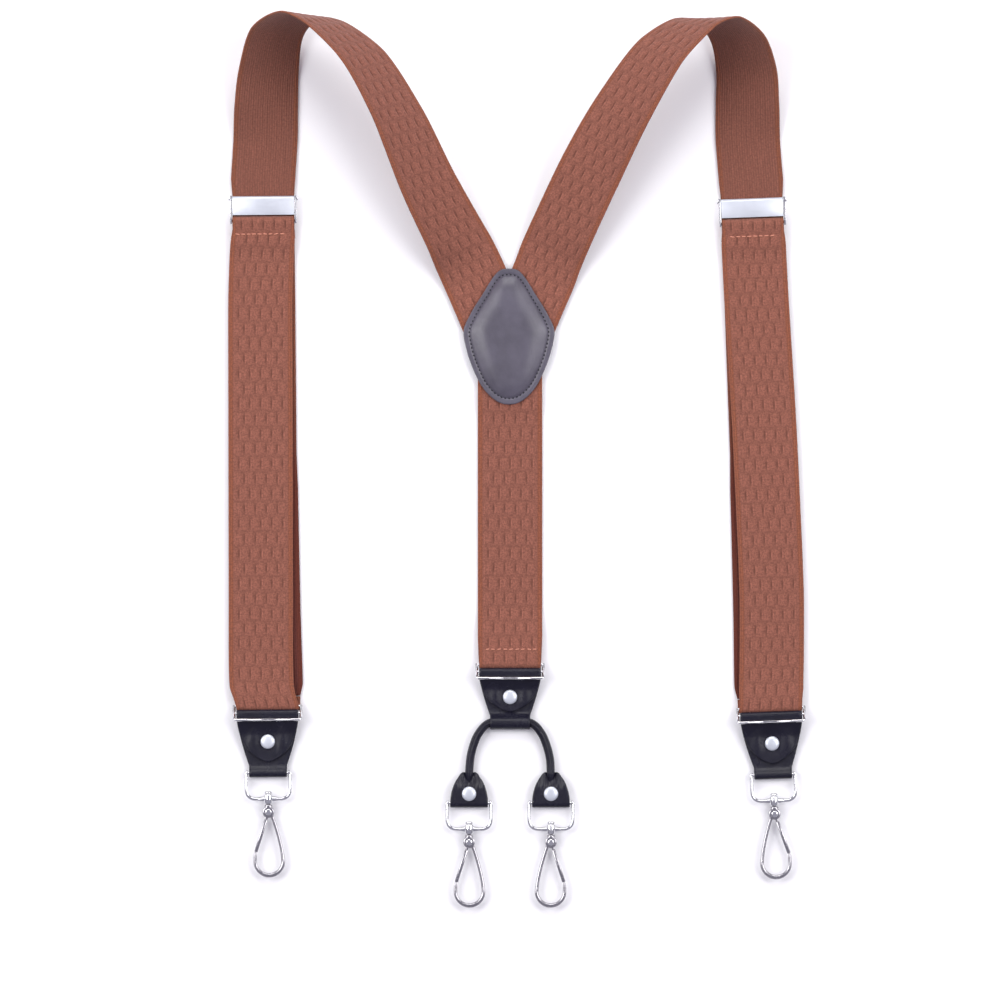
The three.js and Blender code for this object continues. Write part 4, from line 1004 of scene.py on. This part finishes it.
def d_ring_shape():
    left = [(-RING_HALF, 0), (-RING_HALF, -3), (-RING_HALF, -6), (-RING_HALF, RING_CORNER - RING_DEPTH + 0.4)]
    bend = quadratic(
        (-RING_HALF, RING_CORNER - RING_DEPTH), (-RING_HALF, -RING_DEPTH),
        (RING_CORNER - RING_HALF, -RING_DEPTH), 10,
    )
    half = [*left, *map(tuple, bend), (-4, -RING_DEPTH), (0, -RING_DEPTH)]
    path = half + [(-x, y) for x, y in half[-2::-1]]
    path = [(-RING_HALF + 0.9, 0.65), (-RING_HALF + 0.25, 0.45)] + path
    path += [(RING_HALF - 0.25, 0.45), (RING_HALF - 0.9, 0.65)]
    path, _, _, _ = gentle_samples([(x, y, 0) for x, y in path], 0.6)
    near = np.clip(1 - np.abs(path[:, 0]) / 5.6, 0, 1) * (path[:, 1] < -RING_DEPTH + 1)
    wire = tube(path, RING_WIRE + 0.85 * near ** 0.8, 18)
    bar = rounded_bar((-RING_HALF + 0.2, 0, 0), (RING_HALF - 0.2, 0, 0), RING_WIRE)
    barrel = [
        (1.25, -BOSS), (2.1, -BOSS), (2.42, -BOSS + 0.25), (2.5, -BOSS + 0.6), (2.5, BOSS - 0.6),
        (2.42, BOSS - 0.25), (2.1, BOSS), (1.25, BOSS),
    ]
    return join_shapes(wire, bar, moved(laid_along(lathe(barrel, 28)), 0, -RING_DEPTH))


def hook_path():
    bay = [
        (BAY_X + BAY_RADIUS * math.cos(math.radians(a)), BAY_Y + BAY_RADIUS * math.sin(math.radians(a)))
        for a in range(10, -171, -15)
    ]
    nose = [(BAY_X - BAY_RADIUS + 0.05, -24.2), (BAY_X - BAY_RADIUS + 0.1, NOSE_Y)]
    return [(1.5, -1.0), (3.1, -5.4), (5.3, -13), (6.9, -20), *bay, *nose]


def squared(values, power):
    """Turns the cosines or sines of a circle into those of a rounded square."""
    return np.sign(values) * np.abs(values) ** power


def hook_shape():
    place, tangent, _, run = gentle_samples([(x, y, 0) for x, y in hook_path()], 0.7)
    share = run / run[-1]
    across = 0.95 + 0.30 * np.exp(-((share - 0.66) / 0.2) ** 2)
    deep = 1.45 + 0.15 * np.exp(-((share - 0.6) / 0.3) ** 2)
    nose = np.clip((share - 0.965) / 0.035, 0, 1)
    across = across * np.sqrt(1 - 0.65 * nose)
    angle = np.linspace(0, 2 * np.pi, 20, endpoint=False)
    wide, high = squared(np.cos(angle), 0.75)[:, None], squared(np.sin(angle), 0.75)[:, None]
    rings = []
    for p, t, a, d in zip(place, tangent, across, deep):
        side = np.array([-t[1], t[0], 0.0])
        rings.append(p + a * wide * side + d * high * np.array([0, 0, 1.0]))
    arm = loft(rings)
    eye = lathe([(2.6, -2.0), (3.05, -1.8), (3.2, -1.4), (3.2, 1.4), (3.05, 1.8), (2.6, 2.0)], 36)
    neck = laid_along(lathe([(1.75, 1.5), (1.55, 2.6), (1.8, 3.2)], 24))
    collar = laid_along(lathe([(1.5, 2.5), (2.1, 2.75), (2.25, 3.2), (2.1, 3.75), (1.5, 3.95)], 28))
    stem = laid_along(lathe([(0.9, 2.4), (0.9, PIVOT_DROP + BOSS)], 20))
    return [arm, eye, neck, collar, stem]


def build_hook_set(prefix, spot, x, ring_y, side):
    nickel = nickel_material()
    ring = add_piece(f"{prefix}_ring_wire", *moved(d_ring_shape(), x, ring_y, HARDWARE_Z), nickel, spot)
    settle(ring, f"{prefix}_ring", f"{prefix}_d_ring")
    pivot = (x, ring_y - RING_DEPTH - PIVOT_DROP, HARDWARE_Z)
    head = [(1.0, 9.7), (1.8, 9.75), (2.08, 10.05), (2.1, 10.5), (1.9, 10.85), (1.3, 11.08), (0.5, 11.1)]
    cap = add_piece(f"{prefix}_swivel_head", *moved(laid_along(lathe(head, 28)), *pivot), nickel, spot)
    settle(cap, f"{prefix}_hook", f"{prefix}_swivel_cap")
    slot = lathe([(2.75, -0.85), (2.75, 0.85)], 30)
    mouth = box_shape(-4.2, 1.5, -4.2, -0.4, -0.85, 0.85)
    hook = cast_hook(prefix, spot_matrix(spot), pivot, side, cast_material(), (slot, mouth))
    settle(hook, f"{prefix}_hook", f"{prefix}_hook")
    tip = np.array([BAY_X - BAY_RADIUS + 0.4, NOSE_Y + 0.08])
    along = tip / np.linalg.norm(tip)
    knuckle = lathe([(1.8, -0.55), (2.3, -0.55), (2.45, -0.4), (2.45, 0.4), (2.3, 0.55), (1.8, 0.55)], 28)
    tongue = slab(along * 2.0, along * 5.0, 0.72, 0.5)
    rod = slab(along * 4.1, tip, 0.95, 1.1)
    lever = moved(join_shapes(knuckle, tongue, rod), flip=side > 0)
    gate = add_piece(f"{prefix}_snap_gate", *moved(lever, *pivot), cast_material(), spot)
    settle(gate, f"{prefix}_gate", f"{prefix}_gate")
    pin = [
        (1.3, -2.9), (1.62, -2.78), (1.7, -2.6), (1.7, -2.3), (0.85, -2.3), (0.85, 2.3), (1.7, 2.3),
        (1.7, 2.6), (1.55, 2.8), (1.1, 2.9), (0.4, 2.93),
    ]
    pin = add_piece(f"{prefix}_gate_rivet", *moved(lathe(pin, 28), *pivot), nickel, spot)
    settle(pin, f"{prefix}_hook", f"{prefix}_gate_pin")
    turns = np.linspace(0, 4 * math.pi, 60)
    coil = [(1.32 * math.cos(a), 1.32 * math.sin(a), 0.4 * (a / (4 * math.pi) - 0.5)) for a in turns]
    spring = add_piece(f"{prefix}_gate_coil", *moved(tube(coil, 0.16, 8), *pivot), nickel, spot)
    settle(spring, f"{prefix}_hook", f"{prefix}_gate_spring")


def cast_hook(prefix, place, pivot, side, nickel, cutters):
    piece = add_piece(f"{prefix}_snap_hook", *join_shapes(*hook_shape()), nickel)
    remesh = piece.modifiers.new("cast", "REMESH")
    remesh.mode = "VOXEL"
    remesh.voxel_size = bpy.context.scene.suspenders_metal.cast_detail
    soften = piece.modifiers.new("polish", "SMOOTH")
    soften.factor = 0.5
    soften.iterations = 5
    apply_modifiers(piece)
    for i, shape in enumerate(cutters):
        tool = add_piece(f"{prefix}_slot_cutter_{i}", *shape, nickel)
        cut = piece.modifiers.new("slot", "BOOLEAN")
        cut.operation = "DIFFERENCE"
        cut.solver = "EXACT"
        cut.object = tool
        apply_modifiers(piece)
        bpy.data.objects.remove(tool)
    if side > 0:
        piece.data.transform(Matrix.Scale(-1, 4, (1, 0, 0)))
        piece.data.flip_normals()
    piece.data.transform(place @ Matrix.Translation(pivot) @ Matrix.Scale(1 / MM, 4))
    smooth_by_angle(piece, 38)
    return piece


def box_shape(x0, x1, y0, y1, z0, z1):
    points = [(x, y, z) for z in (z0, z1) for y in (y0, y1) for x in (x0, x1)]
    faces = [(0, 2, 3, 1), (4, 5, 7, 6), (0, 1, 5, 4), (2, 6, 7, 3), (0, 4, 6, 2), (1, 3, 7, 5)]
    return np.array(points, float), faces


def slab(start, stop, half_width, half_deep, around=20):
    """A flat rod with well rounded edges, from one point to another in the hook's plane."""
    start, stop = np.asarray(start, float), np.asarray(stop, float)
    way = (stop - start) / np.linalg.norm(stop - start)
    side = np.array([-way[1], way[0], 0.0])
    angle = np.linspace(0, 2 * np.pi, around, endpoint=False)
    wide, high = squared(np.cos(angle), 0.55)[:, None], squared(np.sin(angle), 0.55)[:, None]
    rings = []
    length = np.linalg.norm(stop - start)
    ends = [(0.0, 0.6), (0.12, 0.88), (0.35, 1.0)]
    for at, size in (*ends, *[(length - along, size) for along, size in ends[::-1]]):
        centre = np.array([*(start + way * at), 0.0])
        rings.append(centre + size * (half_width * wide * side + half_deep * high * np.array([0, 0, 1.0])))
    return loft(rings)


# ---- Bridle ----

def build_bridle():
    tunnel = BACK_FOLD - 28.4
    top = REAR_RING_Y + 16.6
    arm = [
        (BRIDLE_HALF, top - 5.5, CORD_Z - 0.9), (BRIDLE_HALF, top - 2, CORD_Z - 0.6),
        (BRIDLE_HALF - 0.5, -228.6, CORD_Z - 0.6), (BRIDLE_HALF - 2.0, -221.8, CORD_Z - 0.4),
        (BRIDLE_HALF - 4.4, -215.4, CORD_Z - 0.1), (TUNNEL_HALF + 3.2, tunnel - 2.0, CORD_Z),
        (TUNNEL_HALF + 0.2, tunnel - 0.1, CORD_Z), (TUNNEL_HALF - 3.0, tunnel, CORD_Z), (0, tunnel, CORD_Z),
    ]
    path = arm + [(-x, y, z) for x, y, z in arm[-2::-1]]
    place, tangent, _, run = gentle_samples(path, 0.7)
    around = 44
    angle = np.linspace(0, 2 * np.pi, around, endpoint=False)
    rings = []
    for p, t, s in zip(place, tangent, run):
        side = np.cross(t, [0, 0, 1.0])
        side /= np.linalg.norm(side)
        up = np.cross(side, t)
        seam = 0.5 * np.exp(-((angle - 1.25) / 0.15) ** 2) + 0.3 * np.exp(-((angle - 2.2) / 0.13) ** 2)
        ending = min(1.0, 0.55 + 0.45 * min(s, run[-1] - s) / 4.5)
        radius = (CORD - seam - 0.05 * np.sin(3 * angle + s / 3.1)) * ending
        rings.append(p + radius[:, None] * (np.cos(angle)[:, None] * side + np.sin(angle)[:, None] * up))
    shapes = [loft(rings)]
    roll = 1.75
    inner = REAR_RING_Y + 5.1 + 3.85 + 2 * GAP
    profile = [
        (top, CORD_Z - 0.6),
        *wrap_round((inner, REAR_TAB_Z), (REAR_RING_Y, HARDWARE_Z), roll, (inner, RETURN_Z), 12),
    ]
    outline = [
        (TAB_END, -10.0), (TAB_END, 0.0), (9.95, 2.7), (9.5, 5.5), (8.8, 8.0), (7.9, 10.4), (6.9, 12.3),
        (5.7, 14.0), (5.0, 15.1), (4.4, 15.9), (3.4, top - REAR_RING_Y),
    ]
    width = width_from([np.array([(half, REAR_RING_Y + up) for half, up in outline])])

    def crinkled(seed):
        def lift(u, y):
            up = np.clip((y - (REAR_RING_Y + 6.5)) / (top - REAR_RING_Y - 6.5), 0, 1)
            hug = 2.5 * up ** 1.4 * np.exp(-(u / (2.5 + 3.2 * (1 - up))) ** 2)
            fan = np.exp(-((up - 0.5) / 0.32) ** 2)
            folds = 0.34 * np.cos(u * 1.9 + seed) * fan + 0.16 * np.cos(u * 4.1 - 2 * seed + 3 * up) * fan
            dimple = -0.22 * np.exp(-((u ** 2 + (y - REAR_RING_Y - 5.1) ** 2) / 20.0))
            edges = -0.4 * up * np.clip((np.abs(u) - 2.8) / 5, 0, 1)
            return hug + folds + dimple + edges
        return lift

    for side, seed in ((-1, 0.4), (1, 2.1)):
        tab = strip_shape(profile, width, columns=36, lift=crinkled(seed), step=0.45)
        shapes.append(moved(tab, side * BRIDLE_HALF))
    bridle = add_piece("back_bridle_leather", *join_shapes(*shapes), leather_material(), BACK_SPOT)
    settle(bridle, "bridle", "back_bridle")
    for prefix, side in (("rear_left", -1), ("rear_right", 1)):
        underside = REAR_TAB_Z + LEATHER / 2 - 0.2
        add_rivet(prefix, REAR_RING_Y + 5.1, underside, BACK_SPOT, "bridle", side * BRIDLE_HALF)


# ---- Settings, operators and panel ----

class WebbingSettings(bpy.types.PropertyGroup):
    colour: bpy.props.FloatVectorProperty(
        name="Webbing colour", description="Colour of the elastic webbing", subtype="COLOR", size=3,
        default=(0.245, 0.090, 0.062), min=0, max=1,
    )
    selvage: bpy.props.FloatVectorProperty(
        name="Selvage colour", description="Colour of the plain woven edges", subtype="COLOR", size=3,
        default=(0.262, 0.084, 0.045), min=0, max=1,
    )
    thread: bpy.props.FloatVectorProperty(
        name="Seam thread", description="Colour of the seams across the webbing", subtype="COLOR", size=3,
        default=(0.72, 0.30, 0.20), min=0, max=1,
    )


class LeatherSettings(bpy.types.PropertyGroup):
    tab_colour: bpy.props.FloatVectorProperty(
        name="Tab leather", description="Colour of the tabs and the rolled cord", subtype="COLOR", size=3,
        default=(0.0065, 0.006, 0.016), min=0, max=1,
    )
    tab_gloss: bpy.props.FloatProperty(
        name="Tab roughness", description="Roughness of the tabs' finish", default=0.25, min=0.1, max=1,
    )
    yoke_colour: bpy.props.FloatVectorProperty(
        name="Yoke leather", description="Colour of the padded yoke patch", subtype="COLOR", size=3,
        default=(0.080, 0.072, 0.100), min=0, max=1,
    )
    yoke_gloss: bpy.props.FloatProperty(
        name="Yoke roughness", description="Roughness of the yoke patch", default=0.34, min=0.1, max=1,
    )
    yoke_puff: bpy.props.FloatProperty(
        name="Yoke padding", description="How far the padded middle stands above the rim",
        default=3.4 * MM, min=0, max=0.005, unit="LENGTH",
    )
    stitch_pitch: bpy.props.FloatProperty(
        name="Stitch length", description="Spacing of the stitches round the yoke patch",
        default=2.1 * MM, min=0.001, max=0.005, unit="LENGTH",
    )


class MetalSettings(bpy.types.PropertyGroup):
    colour: bpy.props.FloatVectorProperty(
        name="Plate colour", description="Colour of the nickel plate", subtype="COLOR", size=3,
        default=(0.78, 0.78, 0.80), min=0, max=1,
    )
    roughness: bpy.props.FloatProperty(
        name="Plate roughness", description="Roughness of the nickel plate", default=0.09, min=0, max=1,
    )
    cast: bpy.props.FloatVectorProperty(
        name="Casting colour", description="Colour of the cast snap hooks", subtype="COLOR", size=3,
        default=(0.46, 0.45, 0.475), min=0, max=1,
    )
    satin: bpy.props.FloatVectorProperty(
        name="Satin colour", description="Colour of the adjusters' satin plates", subtype="COLOR", size=3,
        default=(0.66, 0.69, 0.76), min=0, max=1,
    )
    satin_roughness: bpy.props.FloatProperty(
        name="Satin roughness", description="Roughness of the adjusters' satin plates",
        default=0.34, min=0, max=1,
    )
    cast_detail: bpy.props.FloatProperty(
        name="Casting detail", description="Smallest detail of the cast hooks",
        default=0.26 * MM, min=0.0001, max=0.001, unit="LENGTH",
    )


class StageSettings(bpy.types.PropertyGroup):
    floor: bpy.props.FloatVectorProperty(
        name="Floor colour", description="Colour of the surface underneath", subtype="COLOR", size=3,
        default=(0.96, 0.955, 0.975), min=0, max=1,
    )
    height: bpy.props.FloatProperty(
        name="Camera height", description="Height of the camera above the surface", default=5.0,
        min=0.5, max=5, unit="LENGTH",
    )
    width: bpy.props.FloatProperty(
        name="View width", description="Width of the surface that the camera sees", default=0.534,
        min=0.1, max=3, unit="LENGTH",
    )


class SUSPENDERS_OT_stage(bpy.types.Operator):
    """Floor, soft lights and the camera above"""
    bl_idname = "suspenders.stage"
    bl_label = "Stage"

    def execute(self, context):
        settings = context.scene.suspenders_stage
        build_stage(context.scene, settings)
        return {"FINISHED"}


class SUSPENDERS_OT_shoulder_straps(bpy.types.Operator):
    """The two shoulder straps, from the yoke to their slide loops"""
    bl_idname = "suspenders.shoulder_straps"
    bl_label = "Shoulder straps"

    def execute(self, context):
        for name in LEGS:
            build_shoulder_strap(name)
        return {"FINISHED"}


class SUSPENDERS_OT_front_webbing(bpy.types.Operator):
    """The doubled front webbing and its seams"""
    bl_idname = "suspenders.front_webbing"
    bl_label = "Doubled front webbing"

    def execute(self, context):
        for name in LEGS:
            build_strap_return(name)
        return {"FINISHED"}


class SUSPENDERS_OT_back_strap(bpy.types.Operator):
    """The back strap and its seam"""
    bl_idname = "suspenders.back_strap"
    bl_label = "Back strap"

    def execute(self, context):
        build_back_strap()
        return {"FINISHED"}


class SUSPENDERS_OT_yoke(bpy.types.Operator):
    """The padded yoke patch, its backing and their stitching"""
    bl_idname = "suspenders.yoke"
    bl_label = "Yoke patch"

    def execute(self, context):
        build_yoke()
        return {"FINISHED"}


class SUSPENDERS_OT_tabs(bpy.types.Operator):
    """The leather tabs with their rivets and slide loops"""
    bl_idname = "suspenders.tabs"
    bl_label = "Leather tabs"

    def execute(self, context):
        for name, (_, x, y, lean) in LEGS.items():
            build_tab(
                name, FRONT_FOLD, FRONT_FOLD - 16.2, FRONT_FOLD - 27.1, FRONT_FOLD - 33.0, HARDWARE_Z, 1.75,
                TAB_END, (x, y, lean), f"{name}_tab",
            )
        build_tab(
            "back", BACK_FOLD, BACK_FOLD - 14.6, BACK_FOLD - 22.5, BACK_FOLD - 28.4, CORD_Z, 3.1,
            TUNNEL_HALF, BACK_SPOT, "back_tab",
        )
        return {"FINISHED"}


class SUSPENDERS_OT_bridle(bpy.types.Operator):
    """The rolled leather cord with its two rear tabs"""
    bl_idname = "suspenders.bridle"
    bl_label = "Leather bridle"

    def execute(self, context):
        build_bridle()
        return {"FINISHED"}


class SUSPENDERS_OT_adjusters(bpy.types.Operator):
    """The two cam adjusters"""
    bl_idname = "suspenders.adjusters"
    bl_label = "Adjusters"

    def execute(self, context):
        for name in LEGS:
            build_adjuster(name)
        return {"FINISHED"}


class SUSPENDERS_OT_hooks(bpy.types.Operator):
    """The four D-rings with their swivel snap hooks"""
    bl_idname = "suspenders.hooks"
    bl_label = "Rings and hooks"

    def execute(self, context):
        for name, (side, x, y, lean) in LEGS.items():
            build_hook_set(name, (x, y, lean), 0.0, FRONT_FOLD - 33.0, side)
        for prefix, side in (("rear_left", -1), ("rear_right", 1)):
            build_hook_set(prefix, BACK_SPOT, side * BRIDLE_HALF, REAR_RING_Y, side)
        return {"FINISHED"}


def build_stage(scene, settings):
    reach, below = 3.0, -0.0002
    corners = [(x * reach, y * reach, below) for x, y in ((-1, -1), (1, -1), (1, 1), (-1, 1))]
    floor = bpy.data.meshes.new("floor")
    floor.from_pydata(corners, [], [(0, 1, 2, 3)])
    piece = bpy.data.objects.new("floor", floor)
    scene.collection.objects.link(piece)
    finish = Finish("pale_floor", Roughness=0.9)
    finish.shader.inputs["Specular IOR Level"].default_value = 0.1
    coords = finish.place()
    mottle = finish.noise(coords, 3.0, 2.0)
    finish.feed(Base_Color=mottle.mix(shade(settings.floor, 0.99), shade(settings.floor, 1.0)))
    floor.materials.append(finish.material)
    camera = bpy.data.cameras.new("camera")
    camera.sensor_width = 36.0
    camera.lens = 36.0 * settings.height / settings.width
    camera.clip_end = 20.0
    eye = bpy.data.objects.new("camera", camera)
    eye.location = (-0.0048, -0.0897, settings.height)
    scene.collection.objects.link(eye)
    scene.camera = eye
    lights = [
        ("west_softbox", (-1.3, 0.2, 1.35), (1.0, 1.4), 22.5, (1.0, 0.99, 0.98)),
        ("east_softbox", (1.3, 0.2, 1.35), (1.0, 1.4), 20.5, (1.0, 0.99, 0.985)),
        ("north_softbox", (0.0, 1.55, 1.3), (1.7, 0.8), 19.0, (1.0, 0.995, 0.98)),
    ]
    for name, place, size, power, colour in lights:
        lamp = bpy.data.lights.new(name, "AREA")
        lamp.shape, lamp.energy, lamp.color = "RECTANGLE", power, colour
        lamp.size, lamp.size_y = size
        light = bpy.data.objects.new(name, lamp)
        light.location = place
        aim = Vector((0, -0.08, 0)) - Vector(place)
        light.rotation_euler = aim.to_track_quat("-Z", "Y").to_euler()
        scene.collection.objects.link(light)
    world = bpy.data.worlds.new("studio")
    world.use_nodes = True
    tree = world.node_tree
    start = Wire(tree, None)
    way = start.node("ShaderNodeTexCoord", output="Generated")
    upward = Wire(tree, start.node("ShaderNodeSeparateXYZ", None, {"Vector": way}).socket.node.outputs[2])
    glow = upward.step(0.05, 0.6).mix((0.20, 0.195, 0.235, 1), (0.36, 0.35, 0.42, 1))
    backdrop = tree.nodes["Background"]
    tree.links.new(glow.socket, backdrop.inputs["Color"])
    backdrop.inputs["Strength"].default_value = 1.0
    scene.world = world
    scene.view_settings.view_transform = "Standard"


OPERATORS = (
    SUSPENDERS_OT_stage, SUSPENDERS_OT_yoke, SUSPENDERS_OT_shoulder_straps, SUSPENDERS_OT_front_webbing,
    SUSPENDERS_OT_back_strap, SUSPENDERS_OT_tabs, SUSPENDERS_OT_bridle, SUSPENDERS_OT_adjusters,
    SUSPENDERS_OT_hooks,
)


class SUSPENDERS_PT_panel(bpy.types.Panel):
    """Lists the pieces and their settings"""
    bl_idname = "SUSPENDERS_PT_panel"
    bl_label = "Suspenders"
    bl_space_type = "VIEW_3D"
    bl_region_type = "UI"
    bl_category = "Suspenders"

    def draw(self, context):
        for group in SETTINGS:
            box = self.layout.box()
            settings = getattr(context.scene, group)
            for key in settings.bl_rna.properties.keys():
                if key not in {"rna_type", "name"}:
                    box.prop(settings, key)
        for operator in OPERATORS:
            self.layout.operator(operator.bl_idname)


SETTINGS = {
    "suspenders_webbing": WebbingSettings,
    "suspenders_leather": LeatherSettings,
    "suspenders_metal": MetalSettings,
    "suspenders_stage": StageSettings,
}


def register():
    for kind in (*SETTINGS.values(), *OPERATORS, SUSPENDERS_PT_panel):
        bpy.utils.register_class(kind)
    for key, kind in SETTINGS.items():
        setattr(bpy.types.Scene, key, bpy.props.PointerProperty(type=kind))


def unregister():
    for key in SETTINGS:
        delattr(bpy.types.Scene, key)
    for kind in reversed((*SETTINGS.values(), *OPERATORS, SUSPENDERS_PT_panel)):
        bpy.utils.unregister_class(kind)


def main():
    register()
    for operator in OPERATORS:
        family, name = operator.bl_idname.split(".")
        getattr(getattr(bpy.ops, family), name)()


if __name__ == "__main__":
    main()
